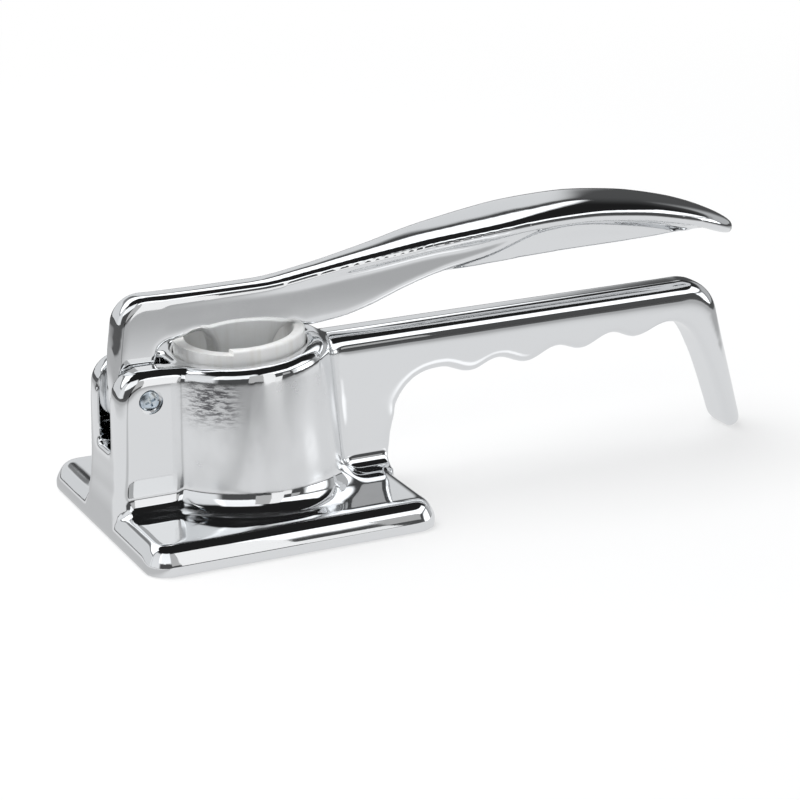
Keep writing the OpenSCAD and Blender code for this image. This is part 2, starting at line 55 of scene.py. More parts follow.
# Shared places in mm about the barrel's axis: X and Z of the hinge and of the plunger's pin, and the rim.
HINGE: Point2 = (-35.0, 44.5)
PIN: Point2 = (-0.75, 33.5)
RIM_HEIGHT = 54.6
RIM_LEAN = 0.058
WHITE: Point3 = (1.0, 1.0, 1.0)


def axis_x() -> float:
    """Return the X of the barrel's axis, in metres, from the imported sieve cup."""
    low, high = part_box("sieve_cup")
    return (low[0] + high[0]) / 2


AXIS_X = axis_x()


def place(x: float, y: float, z: float) -> Vector:
    """Turn millimetres about the barrel's axis into metres in the frame.

    Args:
        x: Distance from the barrel's axis along the handle, in mm.
        y: Distance towards the far side, in mm.
        z: Height above the table, in mm.

    Returns:
        The point in the frame, in metres.
    """
    return Vector((x * MM + AXIS_X, y * MM, z * MM))


def rim_axis() -> Vector:
    """Return the bore's axis, which leans towards the hinge."""
    return Vector((-RIM_LEAN, 0, 1)).normalized()


def metres(lengths: Sequence[float]) -> list[float]:
    """Turn lengths in mm into metres."""
    return [length * MM for length in lengths]


def smooth_step(low: float, high: float, value: float) -> float:
    """Return 0 below low, 1 above high and a smooth blend between.

    Args:
        low: Start of the blend.
        high: End of the blend.
        value: The value to place.

    Returns:
        The blend at value.
    """
    share = max(0.0, min(1.0, (value - low) / (high - low)))
    return share * share * (3 - 2 * share)


def arc(cx: float, cz: float, radius: float, start: float, end: float, steps: int) -> list[Point2]:
    """List the points of an arc.

    Args:
        cx: Centre's first coordinate.
        cz: Centre's second coordinate.
        radius: Radius of the arc.
        start: First angle in degrees.
        end: Last angle in degrees.
        steps: Number of steps along the arc.

    Returns:
        The points from start to end, both included.
    """
    points = []
    for i in range(steps + 1):
        angle = math.radians(start + (end - start) * i / steps)
        points.append((cx + radius * math.cos(angle), cz + radius * math.sin(angle)))
    return points


def curve_at(knots: Sequence[Point2], x: float) -> float:
    """Read a smooth curve through knots.

    Args:
        knots: Points of the curve, in order of their first coordinate.
        x: Where to read it.

    Returns:
        The curve's second coordinate at x.
    """
    if x <= knots[0][0]:
        return knots[0][1]
    if x >= knots[-1][0]:
        return knots[-1][1]
    slopes = []
    for i, (kx, kz) in enumerate(knots):
        low = knots[max(i - 1, 0)]
        high = knots[min(i + 1, len(knots) - 1)]
        slopes.append((high[1] - low[1]) / (high[0] - low[0]))
    for i in range(len(knots) - 1):
        (x0, z0), (x1, z1) = knots[i], knots[i + 1]
        if x <= x1:
            span = x1 - x0
            t = (x - x0) / span
            return (z0 * (1 + 2 * t) * (1 - t) ** 2 + slopes[i] * span * t * (1 - t) ** 2
                    + z1 * t * t * (3 - 2 * t) + slopes[i + 1] * span * t * t * (t - 1))
    return knots[-1][1]


def flank_point(width: float, height: float, share: float) -> Point2:
    """Read a point of an S-shaped flank made of two arcs with a straight between them.

    Args:
        width: How far the flank goes in.
        height: How far it goes down.
        share: Position along it, from 0 to 1.

    Returns:
        How far in and how far down the point is.
    """
    turn = min(2 * math.atan2(width, height), math.radians(74))
    radius = (height * math.sin(turn) - width * math.cos(turn)) / (2 * (1 - math.cos(turn)))
    straight = max(0.0, (height - 2 * radius * math.sin(turn)) / math.cos(turn))
    run = share * (2 * radius * turn + straight)
    past = run - radius * turn
    if past <= 0:
        return radius * (1 - math.cos(run / radius)), radius * math.sin(run / radius)
    if past <= straight:
        return (radius * (1 - math.cos(turn)) + past * math.sin(turn),
                radius * math.sin(turn) + past * math.cos(turn))
    left = turn - (past - straight) / radius
    return width - radius * (1 - math.cos(left)), height - radius * math.sin(left)


class Solid:
    """A closed mesh that is shaped with Blender's own operators."""

    def __init__(self, name: str, obj: bpy.types.Object) -> None:
        """Keep an object under a name.

        Args:
            name: Name of the piece.
            obj: The mesh object.
        """
        self.obj = obj
        self.obj.name = name
        self.obj.data.name = name

    @staticmethod
    def clear_selection() -> None:
        """Leave edit mode and deselect every object."""
        if bpy.context.object and bpy.context.object.mode != "OBJECT":
            bpy.ops.object.mode_set(mode="OBJECT")
        bpy.ops.object.select_all(action="DESELECT")

    def activate(self) -> None:
        """Make this the only selected object."""
        self.clear_selection()
        self.obj.select_set(True)
        bpy.context.view_layer.objects.active = self.obj

    def edit(self, select: str = "DESELECT") -> None:
        """Enter edit mode.

        Args:
            select: Selection to start with, SELECT or DESELECT.
        """
        self.activate()
        bpy.ops.object.mode_set(mode="EDIT")
        bpy.ops.mesh.select_mode(type="VERT")
        bpy.ops.mesh.select_all(action=select)

    def leave(self) -> None:
        """Go back to object mode."""
        bpy.ops.object.mode_set(mode="OBJECT")

    @classmethod
    def closed_line(cls, name: str, points: Sequence[Vector]) -> "Solid":
        """Draw a closed line through points, from a circle with as many corners.

        Args:
            name: Name of the piece.
            points: Corners in metres, in order.

        Returns:
            The line, with no face.
        """
        cls.clear_selection()
        bpy.ops.mesh.primitive_circle_add(vertices=len(points), radius=1.0, fill_type="NOTHING")
        solid = cls(name, bpy.context.active_object)
        for vertex, point in zip(solid.obj.data.vertices, points):
            vertex.co = point
        return solid

    @classmethod
    def outline(cls, name: str, points: Sequence[Point2], half: float) -> "Solid":
        """Extrude a side outline across Y.

        Args:
            name: Name of the piece.
            points: X and Z of the outline in mm, about the barrel's axis.
            half: Half of the thickness in mm.

        Returns:
            The closed solid.
        """
        solid = cls.closed_line(name, [place(x, -half, z) for x, z in points])
        solid.edit("SELECT")
        bpy.ops.mesh.edge_face_add()
        bpy.ops.mesh.extrude_region_move(TRANSFORM_OT_translate={"value": (0, 2 * half * MM, 0)})
        return solid.face_outwards()

    @classmethod
    def turned(cls, name: str, profile: Sequence[Point2], centre: Vector, axis: Vector,
               steps: int) -> "Solid":
        """Spin a closed profile about an axis.

        Args:
            name: Name of the piece.
            profile: Radius and height in mm, as a closed line off the axis.
            centre: Point on the axis where the height is 0, in metres.
            axis: Direction of the axis.
            steps: Number of steps round.

        Returns:
            The closed ring.
        """
        axis = axis.normalized()
        side = axis.orthogonal().normalized()
        solid = cls.closed_line(name, [centre + side * r * MM + axis * z * MM for r, z in profile])
        solid.edit("SELECT")
        bpy.ops.mesh.spin(steps=steps, angle=math.tau, center=centre, axis=axis)
        bpy.ops.mesh.select_all(action="SELECT")
        bpy.ops.mesh.remove_doubles(threshold=1e-6)
        return solid.face_outwards()

    @classmethod
    def rod(cls, name: str, radius: float, start: Vector, end: Vector, sides: int = 96) -> "Solid":
        """Add a round rod between two points.

        Args:
            name: Name of the piece.
            radius: Radius in mm.
            start: One end in metres.
            end: The other end in metres.
            sides: Number of sides.

        Returns:
            The rod.
        """
        cls.clear_selection()
        along = end - start
        bpy.ops.mesh.primitive_cylinder_add(vertices=sides, radius=radius * MM, depth=along.length)
        solid = cls(name, bpy.context.active_object)
        turn = Vector((0, 0, 1)).rotation_difference(along.normalized()).to_matrix().to_4x4()
        solid.obj.data.transform(Matrix.Translation((start + end) / 2) @ turn)
        return solid

    @classmethod
    def block(cls, name: str, low: Vector, high: Vector) -> "Solid":
        """Add a box between two corners.

        Args:
            name: Name of the piece.
            low: Lowest corner in metres.
            high: Highest corner in metres.

        Returns:
            The box.
        """
        cls.clear_selection()
        bpy.ops.mesh.primitive_cube_add(size=1.0)
        solid = cls(name, bpy.context.active_object)
        size = high - low
        solid.obj.data.transform(Matrix.Translation((low + high) / 2) @ Matrix.Diagonal((*size, 1)))
        return solid

    @classmethod
    def loft(cls, name: str, sections: Sequence[Sequence[Vector]]) -> "Solid":
        """Draw a skin through sections that have the same number of points.

        Args:
            name: Name of the piece.
            sections: The sections in order, each a closed line in metres.

        Returns:
            The closed solid.
        """
        solid = cls.closed_line(name, sections[0])
        count = len(sections[0])
        solid.edit("SELECT")
        bpy.ops.mesh.edge_face_add()
        for _ in sections[1:]:
            bpy.ops.mesh.extrude_region_move(TRANSFORM_OT_translate={"value": (MM, 0, 0)})
        solid.leave()
        vertices = solid.obj.data.vertices
        for index, section in enumerate(sections):
            for j, point in enumerate(section):
                vertices[index * count + j].co = point
        solid.obj.data.update()
        return solid.face_outwards()

    def face_outwards(self) -> "Solid":
        """Turn every face outwards.

        Returns:
            This solid.
        """
        self.edit("SELECT")
        bpy.ops.mesh.normals_make_consistent(inside=False)
        self.leave()
        return self

    def bevel(self, pick: Callable[[Vector, Vector], bool], width: float, segments: int) -> "Solid":
        """Round the edges that pick chooses.

        Args:
            pick: Test on an edge's two ends, in mm about the barrel's axis.
            width: Radius of the rounding in mm.
            segments: Number of segments across it.

        Returns:
            This solid.
        """
        self.edit()
        bpy.ops.mesh.select_mode(type="EDGE")
        self.leave()
        mesh = self.obj.data
        shift = Vector((AXIS_X, 0, 0))
        for edge in mesh.edges:
            ends = [(mesh.vertices[i].co - shift) / MM for i in edge.vertices]
            edge.select = pick(*ends)
        bpy.ops.object.mode_set(mode="EDIT")
        bpy.ops.mesh.bevel(offset=width * MM, segments=segments, profile=0.5, affect="EDGES",
                           clamp_overlap=False)
        self.leave()
        return self

    def apply(self, kind: str, **settings: Union[float, int, str, bool, bpy.types.Object]) -> "Solid":
        """Add a modifier and apply it.

        Args:
            kind: Type of the modifier.
            settings: Values of its properties.

        Returns:
            This solid.
        """
        self.activate()
        modifier = self.obj.modifiers.new(kind.lower(), kind)
        for key, value in settings.items():
            setattr(modifier, key, value)
        bpy.ops.object.modifier_apply(modifier=modifier.name)
        return self

    def combine(self, other: "Solid", operation: str) -> "Solid":
        """Join another solid to this one, or cut it away.

        Args:
            other: The other solid, which is used up.
            operation: UNION, DIFFERENCE or INTERSECT.

        Returns:
            This solid.
        """
        self.apply("BOOLEAN", object=other.obj, operation=operation, solver="EXACT")
        bpy.data.objects.remove(other.obj, do_unlink=True)
        return self

    def join(self, others: Iterable["Solid"]) -> "Solid":
        """Put other solids into this object without cutting them.

        Args:
            others: The other solids, which are used up.

        Returns:
            This solid.
        """
        self.activate()
        for other in others:
            other.obj.select_set(True)
        bpy.ops.object.join()
        return self

    def cast(self, grain: float, softness: int, pull: float = 0.5) -> "Solid":
        """Melt the solid into one skin with soft edges, as a casting has.

        Args:
            grain: Size of the skin's faces in mm.
            softness: Number of smoothing passes, 30 at most.
            pull: How far each pass pulls a corner towards its neighbours.

        Returns:
            This solid.
        """
        self.apply("REMESH", mode="VOXEL", voxel_size=grain * MM, adaptivity=0.0)
        self.apply("SMOOTH", factor=pull, iterations=softness)
        return self

    def triangles(self) -> int:
        """Count the mesh's triangles."""
        return sum(len(polygon.vertices) - 2 for polygon in self.obj.data.polygons)

    def shade(self, angle: float = 35.0) -> "Solid":
        """Shade the faces smoothly up to an angle in degrees.

        Args:
            angle: Sharpest angle that is still smooth.

        Returns:
            This solid.
        """
        self.activate()
        bpy.ops.object.shade_smooth_by_angle(angle=math.radians(angle))
        return self


class Socket:
    """A shader output or number that Python's operators can add, scale and compare."""

    def __init__(self, graph: "Graph", value: Union[float, bpy.types.NodeSocket]) -> None:
        """Wrap a number or an output socket of a graph."""
        self.graph = graph
        self.value = value

    def maths(self, operation: str, *others: Union["Socket", float]) -> "Socket":
        """Add a Math node on this value and others, and return its result."""
        return self.graph.maths(operation, self, *others)

    def __add__(self, other: Union["Socket", float]) -> "Socket":
        """Add."""
        return self.maths("ADD", other)

    __radd__ = __add__

    def __sub__(self, other: Union["Socket", float]) -> "Socket":
        """Subtract."""
        return self.maths("SUBTRACT", other)

    def __rsub__(self, other: float) -> "Socket":
        """Subtract this from a number."""
        return self.graph.maths("SUBTRACT", other, self)

    def __mul__(self, other: Union["Socket", float]) -> "Socket":
        """Multiply."""
        return self.maths("MULTIPLY", other)

    __rmul__ = __mul__

    def ramp(self, low: float, high: float) -> "Socket":
        """Blend from 0 at low to 1 at high.

        Args:
            low: Value that gives 0.
            high: Value that gives 1.

        Returns:
            The blend, held between 0 and 1.
        """
        settings = {"interpolation_type": "SMOOTHSTEP", "clamp": True}
        limits = {"Value": self, "From Min": low, "From Max": high, "To Min": 0.0, "To Max": 1.0}
        node = self.graph.node("ShaderNodeMapRange", settings, limits)
        return Socket(self.graph, node.outputs["Result"])

    def band(self, low: float, high: float, edge: float) -> "Socket":
        """Give 1 between low and high and 0 outside, with edges of a given width."""
        return self.ramp(low - edge, low + edge) * (1.0 - self.ramp(high - edge, high + edge))


class Graph:
    """The node graph of a material or the world."""

    def __init__(self, tree: bpy.types.NodeTree) -> None:
        """Clear a node tree and draw in it."""
        self.tree = tree
        self.tree.nodes.clear()

    def node(self, kind: str, settings: dict[str, object],
             inputs: dict[Union[str, int], object]) -> bpy.types.Node:
        """Add a node.

        Args:
            kind: The node's type.
            settings: Properties that are set first.
            inputs: Values or links of its sockets, by name or number.

        Returns:
            The node.
        """
        node = self.tree.nodes.new(kind)
        for key, value in settings.items():
            setattr(node, key, value)
        for key, value in inputs.items():
            self.feed(node.inputs[key], value)
        return node

    def feed(self, socket: bpy.types.NodeSocket, value: object) -> None:
        """Set or link an input.

        Args:
            socket: The input.
            value: A number, colour, output or wrapped value.
        """
        if isinstance(value, Socket):
            value = value.value
        if isinstance(value, bpy.types.NodeSocket):
            self.tree.links.new(value, socket)
        elif isinstance(value, (tuple, list)) and len(value) == 3 and socket.type == "RGBA":
            socket.default_value = (*value, 1.0)
        else:
            socket.default_value = value

    def maths(self, operation: str, *values: Union[Socket, float]) -> Socket:
        """Add a Math node on numbers and wrapped values, and return its result."""
        node = self.node("ShaderNodeMath", {"operation": operation}, dict(enumerate(values)))
        return Socket(self, node.outputs[0])

    def place(self, shift: Point3 = (0, 0, 0), scale: Point3 = (1, 1, 1)) -> bpy.types.NodeSocket:
        """Give object coordinates, moved and scaled.

        Args:
            shift: Point in metres that becomes the middle.
            scale: Scale along each axis.

        Returns:
            The coordinates.
        """
        where = self.node("ShaderNodeTexCoord", {}, {}).outputs["Object"]
        moved = self.node("ShaderNodeVectorMath", {"operation": "SUBTRACT"}, {0: where, 1: shift})
        scaled = self.node("ShaderNodeVectorMath", {"operation": "MULTIPLY"}, {0: moved.outputs[0], 1: scale})
        return scaled.outputs[0]

    def parts(self, vector: bpy.types.NodeSocket) -> tuple[Socket, Socket, Socket]:
        """Split a vector into its X, Y and Z."""
        node = self.node("ShaderNodeSeparateXYZ", {}, {0: vector})
        return tuple(Socket(self, output) for output in node.outputs)

    def noise(self, vector: bpy.types.NodeSocket, scale: float, detail: float = 2.0,
              rough: float = 0.5) -> Socket:
        """Add a noise texture with a scale in cells per metre, and return its value."""
        inputs = {"Vector": vector, "Scale": scale, "Detail": detail, "Roughness": rough}
        return Socket(self, self.node("ShaderNodeTexNoise", {}, inputs).outputs["Fac"])

    def blend(self, share: Socket, first: Union[Point3, bpy.types.NodeSocket],
              second: Union[Point3, bpy.types.NodeSocket]) -> bpy.types.NodeSocket:
        """Blend two colours by the share of the second."""
        # The Mix node's colour sockets are its inputs 6 and 7 and its output 2.
        node = self.node("ShaderNodeMix", {"data_type": "RGBA"}, {0: share, 6: first, 7: second})
        return node.outputs[2]

    def bump(self, height: Socket, distance: float, strength: float) -> bpy.types.NodeSocket:
        """Turn a height from 0 to 1, worth a distance in metres, into a normal."""
        node = self.node("ShaderNodeBump", {}, {"Strength": strength, "Distance": distance, "Height": height})
        return node.outputs["Normal"]

    def surface(self, inputs: dict[str, object]) -> None:
        """Finish the graph with a Principled surface."""
        shader = self.node("ShaderNodeBsdfPrincipled", {}, inputs)
        self.node("ShaderNodeOutputMaterial", {}, {"Surface": shader.outputs[0]})


def new_material(name: str) -> tuple[bpy.types.Material, Graph]:
    """Make an empty material.

    Args:
        name: Its name.

    Returns:
        The material and its node graph.
    """
    material = bpy.data.materials.new(name)
    material.use_nodes = True
    return material, Graph(material.node_tree)


class Spot(Enum):
    """Where a casting's plating differs: the barrel's wall gets satin lines and a painted dark reflection."""

    BARREL = "barrel"
    PLAIN = "plain"


@dataclass(frozen=True)
class SatinWall:
    """The barrel's wall: fine satin lines, uneven roughness, and a crinkled patch whose darker colour is a
    painted dark reflection.

    Lengths are in mm about the barrel's axis. A band is its start, its end and its soft edge.
    """

    inner: Point2 = (26.4, 27.0)
    outer: Point2 = (31.5, 32.0)
    levels: Point3 = (15.5, 50.0, 1.2)
    patch_x: Point3 = (-23.5, -12.5, 3.5)
    patch_z: Point3 = (38.0, 52.0, 4.5)
    patch_y: Point2 = (10.0, 16.0)
    line_grain: Point3 = (90.0, 90.0, 2600.0)
    worn_grain: Point3 = (120.0, 120.0, 60.0)
    ridge_grain: Point3 = (230.0, 230.0, 1100.0)
    rough: float = 0.12
    uneven: float = 0.10
    line_height: float = 0.035
    ridge_height: float = 0.6
    # Colour of the crinkled patch's painted dark reflection.
    dark_reflection: Point3 = (0.16, 0.16, 0.17)

    def add_satin_and_dark_reflection(self, graph: Graph, rough: Socket, height: Socket,
             colour: Point3) -> tuple[Socket, Socket, bpy.types.NodeSocket]:
        """Add the wall's satin lines, uneven roughness and the crinkled patch's painted dark reflection to a
        plating.

        Args:
            graph: The material's node graph.
            rough: Roughness of the plating.
            height: Bump height of the plating.
            colour: Colour of the plating.

        Returns:
            The new roughness, bump height and colour.
        """
        middle = (AXIS_X, 0, 0)
        x, y, z = graph.parts(graph.place(middle))
        reach = (x * x + y * y).maths("SQRT")
        mask = (1.0 - reach.ramp(*metres(self.outer))) * reach.ramp(*metres(self.inner))
        mask = mask * z.band(*metres(self.levels))
        lines = graph.noise(graph.place(middle, self.line_grain), 1.0, 3.0, 0.65)
        worn = graph.noise(graph.place(middle, self.worn_grain), 1.0, 2.0, 0.6)
        ridges = graph.noise(graph.place(middle, self.ridge_grain), 1.0, 5.0, 0.75)
        # Crinkled patch on the near upper wall; its darker colour is a painted dark reflection.
        patch = mask * x.band(*metres(self.patch_x)) * z.band(*metres(self.patch_z))
        patch = patch * (y * -1.0).ramp(*metres(self.patch_y))
        rough = rough + mask * (worn.ramp(0.3, 0.7) * self.uneven + self.rough)
        height = height + mask * lines * self.line_height + patch * ridges * self.ridge_height
        return rough, height, graph.blend(patch * ridges.ramp(0.44, 0.56), colour, self.dark_reflection)


@dataclass(frozen=True)
class ChromeFinish:
    """Bright chrome plating over a slightly wavy casting."""

    name: str = "chrome_plating"
    colour: Point3 = (0.83, 0.84, 0.85)
    rough: float = 0.035
    haze: float = 0.035
    haze_scale: float = 140.0
    wave: float = 0.9
    wave_scale: float = 55.0
    pores: float = 0.012
    pore_scale: float = 900.0
    bump_depth: float = 0.00022
    bump_strength: float = 0.35
    spot: Spot = Spot.PLAIN

    def build(self) -> bpy.types.Material:
        """Make the material.

        Returns:
            The material.
        """
        material, graph = new_material(self.name)
        where = graph.place((AXIS_X, 0, 0))
        wave = graph.noise(where, self.wave_scale, 1.0)
        pores = graph.noise(where, self.pore_scale, 2.0, 0.6)
        haze = graph.noise(where, self.haze_scale, 4.0, 0.6)
        rough = haze.ramp(0.35, 0.75) * self.haze + self.rough
        height = wave * self.wave + pores * self.pores
        colour: Union[Point3, bpy.types.NodeSocket] = self.colour
        # The barrel's wall gets satin lines and a painted dark reflection.
        if self.spot is Spot.BARREL:
            rough, height, colour = SatinWall().add_satin_and_dark_reflection(graph, rough, height, self.colour)
        graph.surface({"Base Color": colour, "Metallic": 1.0, "Roughness": rough,
                       "Normal": graph.bump(height, self.bump_depth, self.bump_strength)})
        return material


@dataclass(frozen=True)
class CastFinish:
    """Matte, bare cast aluminium with upright bands in its bump and painted reflection bands in its colour,
    and random blotches of tone.
    """

    name: str
    light: Point3 = (0.97, 0.97, 0.96)
    # Colour of the painted reflection bands and of the random blotches.
    dark: Point3 = (0.84, 0.82, 0.78)
    metallic: float = 0.30
    rough: float = 0.36
    uneven: float = 0.14
    streak_and_painted_band_grain: Point3 = (420.0, 420.0, 30.0)
    blotch_scale: float = 120.0
    grain_scale: float = 1500.0
    bump_depth: float = 0.00012
    bump_strength: float = 0.35

    def build(self) -> bpy.types.Material:
        """Make the material.

        Returns:
            The material.
        """
        material, graph = new_material(self.name)
        where = graph.place((AXIS_X, 0, 0))
        streaks_and_painted_bands = graph.noise(graph.place((AXIS_X, 0, 0), self.streak_and_painted_band_grain), 1.0, 3.0, 0.6)
        blotch = graph.noise(where, self.blotch_scale, 3.0, 0.55)
        grain = graph.noise(where, self.grain_scale, 2.0, 0.6)
        # The upright bands darken the colour as painted reflections; the blotches are random tone.
        share = streaks_and_painted_bands.ramp(0.42, 0.72) * 0.5 + blotch.ramp(0.45, 0.75) * 0.3
        bump = graph.bump(grain * 0.6 + streaks_and_painted_bands * 0.4, self.bump_depth, self.bump_strength)
        graph.surface({"Base Color": graph.blend(share, self.light, self.dark), "Metallic": self.metallic,
                       "Roughness": blotch.ramp(0.3, 0.7) * self.uneven + self.rough, "Normal": bump})
        return material


@dataclass(frozen=True)
class ZincFinish:
    """Bluish zinc plating on small steel parts."""

    name: str = "blue_zinc"
    colour: Point3 = (0.62, 0.70, 0.78)
    tint: Point3 = (0.72, 0.72, 0.66)
    rough: float = 0.16
    uneven: float = 0.12
    patch_scale: float = 500.0
    grain_scale: float = 4000.0
    bump_depth: float = 0.00004
    bump_strength: float = 0.3

    def build(self) -> bpy.types.Material:
        """Make the material.

        Returns:
            The material.
        """
        material, graph = new_material(self.name)
        where = graph.place((AXIS_X, 0, 0))
        patches = graph.noise(where, self.patch_scale, 2.0)
        fine = graph.noise(where, self.grain_scale, 2.0)
        colour = graph.blend(patches.ramp(0.4, 0.75) * 0.6, self.colour, self.tint)
        graph.surface({"Base Color": colour, "Metallic": 1.0, "Roughness": fine * self.uneven + self.rough,
                       "Normal": graph.bump(fine, self.bump_depth, self.bump_strength)})
        return material


@dataclass
class Body:
    """The base, barrel, yoke and handle, cast in one.

    Lengths are in mm about the barrel's axis, and angles in degrees.
    """

    base_x: float = 48.5
    base_y: float = 46.0
    base_top: float = 9.2
    base_corner: float = 8.0
    base_edge: float = 5.2
    flank_foot: float = 3.5
    flank_lean: float = 26.0
    wall: float = 7.6
    skin: float = 3.6
    rim_radius: float = 28.0
    rim_round: float = 3.6
    flare: float = 2.2
    centre_drift: float = 0.7
    foot_fillet: float = 7.2
    side_fillet: float = 5.4
    bore: float = 21.0
    seat_radius: float = 18.0
    seat_height: float = 21.5
    yoke_rear: float = 46.0
    yoke_half: float = 13.9
    yoke_top: float = 53.8
    yoke_edge: float = 3.8
    slot_half: float = 5.6
    slot_floor: float = 27.0
    slot_end: float = -24.5
    handle_half: float = 7.6
    handle_top: float = 54.4
    handle_edge: float = 5.9
    under_edge: float = 2.4
    leg_inner: tuple[Point2, ...] = ((0.0, 178.0), (5.0, 176.4), (13.0, 173.6), (24.0, 169.4), (32.0, 165.6),
                                     (37.0, 162.6))
    leg_top: float = 32.0
    leg_outer: float = 176.4
    leg_slope: float = 0.2836
    leg_round: float = 3.4
    screw_hole: float = 2.9
    head_recess: float = 3.9
    recess_depth: float = 2.2
    sides: int = 128
    grain: float = 0.8
    softness: int = 8

    def base(self) -> Solid:
        """Build the base plate: upright foot, sloping flank and rounded top edge.

        Returns:
            The base plate.
        """
        lean = math.radians(self.flank_lean)
        foot, edge = self.flank_foot, self.base_edge
        run = (self.base_top - foot) - edge * (1 - math.sin(lean)) - 0.5
        levels = [(0.0, 0.0), (0.0, foot - 0.5), (0.08, foot), (0.3, foot + 0.5)]
        for i in range(1, 4):
            levels.append((0.3 + run * math.tan(lean) * i / 3, foot + 0.5 + run * i / 3))
        inset, height = levels[-1]
        for i in range(1, 11):
            tilt = lean + (math.pi / 2 - lean) * i / 10
            levels.append((inset + edge * (math.cos(lean) - math.cos(tilt)),
                           height + edge * (math.sin(tilt) - math.sin(lean))))
        return Solid.loft("base", [self.plate_line(*level) for level in levels])

    def plate_line(self, inset: float, height: float) -> list[Vector]:
        """Draw a level line of the base plate.

        Args:
            inset: Distance inside the plate's outline in mm.
            height: Its height in mm.

        Returns:
            The closed line in metres.
        """
        radius = self.base_corner - inset
        points = []
        for quarter in range(4):
            side_x = 1 if quarter in (0, 3) else -1
            side_y = 1 if quarter in (0, 1) else -1
            centre_x = side_x * (self.base_x - self.base_corner)
            centre_y = side_y * (self.base_y - self.base_corner)
            points += arc(centre_x, centre_y, radius, 90 * quarter, 90 * quarter + 90, 10)
        return [place(x, y, height) for x, y in points]

    def ring(self, radius: float, height: float, tilt: float) -> list[Vector]:
        """Draw one level line of the barrel.

        Args:
            radius: Its radius in mm.
            height: Its height at the axis in mm.
            tilt: Share of the rim's slope that it has.

        Returns:
            The closed line in metres.
        """
        centre = RIM_LEAN * (RIM_HEIGHT - height) * self.centre_drift
        turns = [math.tau * i / self.sides for i in range(self.sides)]
        return [place(centre + radius * math.cos(turn), radius * math.sin(turn),
                      height + tilt * RIM_LEAN * radius * math.cos(turn)) for turn in turns]

    def barrel(self) -> Solid:
        """Build the barrel with its sloping rim and the wide fillet at its foot.

        Returns:
            The barrel, still without its bore.
        """
        rim, base, fillet = self.rim_round, self.base_top, self.foot_fillet
        foot = self.rim_radius + self.flare
        outer = foot + fillet + 3
        levels = [(outer, base - 3.0, 0.0), (outer, base - 0.4, 0.0), (foot + fillet, base, 0.0)]
        for i in range(1, 10):
            turn = math.radians(90 * i / 9)
            radius = foot + fillet * (1 - math.sin(turn))
            levels.append((radius, base + fillet * (1 - math.cos(turn)), 0.0))
        wall_low, wall_high = base + fillet, RIM_HEIGHT - rim
        for i in range(1, 9):
            share = i / 8
            height = wall_low + (wall_high - wall_low) * share
            levels.append((foot - self.flare * share, height, share * share))
        for i in range(1, 9):
            turn = math.radians(90 * i / 8)
            radius = self.rim_radius - rim * (1 - math.cos(turn))
            levels.append((radius, wall_high + rim * math.sin(turn), 1.0))
        return Solid.loft("barrel", [self.ring(*level) for level in levels])

    def yoke(self) -> Solid:
        """Build the yoke behind the barrel, flaring at its rear foot.

        Returns:
            The yoke, still without its slot.
        """
        top, rear = self.yoke_top, -self.yoke_rear
        points = [(-10, 4), (rear - 2.2, 4), (rear - 1.6, 9.0), (rear - 0.6, 15.0), (rear - 0.1, 22.0),
                  (rear + 0.1, 30), (-45.7, 40.0)]
        points += arc(-36.2, top - 9.3, 9.3, 170, 92, 10)
        points += [(-30, top - 0.1), (-22, top - 0.6), (-10, top - 0.6)]

        def outer(a: Vector, b: Vector) -> bool:
            """Tell whether an edge runs along the rear or the top.

            Args:
                a: One end of the edge in mm.
                b: Its other end in mm.

            Returns:
                True where the edge is rounded.
            """
            front = min(a.x, b.x) >= -10.01 or (a.x > -10.1 and b.x > -10.1)
            under = min(a.z, b.z) <= 3.9 or max(a.z, b.z) <= 4.1
            return abs(a.y - b.y) < 0.01 and not front and not under

        return Solid.outline("yoke", points, self.yoke_half).bevel(outer, self.yoke_edge, 8)

    def foot_strip(self, side: int, start: float, end: float, half: float, radius: float) -> Solid:
        """Build a fillet along X between an upright side and the base plate.

        Args:
            side: -1 for the near side, 1 for the far side.
            start: First X in mm.
            end: Last X in mm.
            half: Distance of the upright side from the middle in mm.
            radius: Radius of the fillet in mm.

        Returns:
            The fillet.
        """
        top = self.base_top
        points = [(half - 2, top - 3), (half + radius, top - 3)]
        points += arc(half + radius, top + radius, radius, 270, 180, 10)
        points += [(half - 2, top + radius)]
        return Solid.loft("strip", [[place(x, side * y, z) for y, z in points] for x in (start, end)])

    def upright_fillet(self, side: int, half: float, radius: float, way: int, low: float,
                       high: float) -> Solid:
        """Build an upright fillet between a flat side and the barrel.

        Args:
            side: -1 for the near side, 1 for the far side.
            half: Distance of the flat side from the middle in mm.
            radius: Radius of the fillet in mm.
            way: 1 towards the handle, -1 towards the hinge.
            low: Lower height in mm.
            high: Upper height in mm.

        Returns:
            The fillet.
        """
        rows = []
        steps = 6
        for k in range(steps + 1):
            z = low + (high - low) * k / steps
            shift = RIM_LEAN * (RIM_HEIGHT - z) * self.centre_drift
            reach = self.rim_radius + self.flare * min(1.0, (RIM_HEIGHT - z) / 40)
            far = reach + radius
            cy = half + radius
            cx = math.sqrt(far * far - cy * cy)
            start = math.degrees(math.atan2(cy, cx)) + 180
            points = [(cx - 8, half - 2), (cx, half - 2)]
            points += arc(cx, cy, radius, 270, start, 8)
            points += [(cx * (reach - 2) / far - 1, cy * (reach - 2) / far - 1)]
            rows.append([place(way * x + shift, side * y, z) for x, y in points])
        return Solid.loft("fillet", rows)

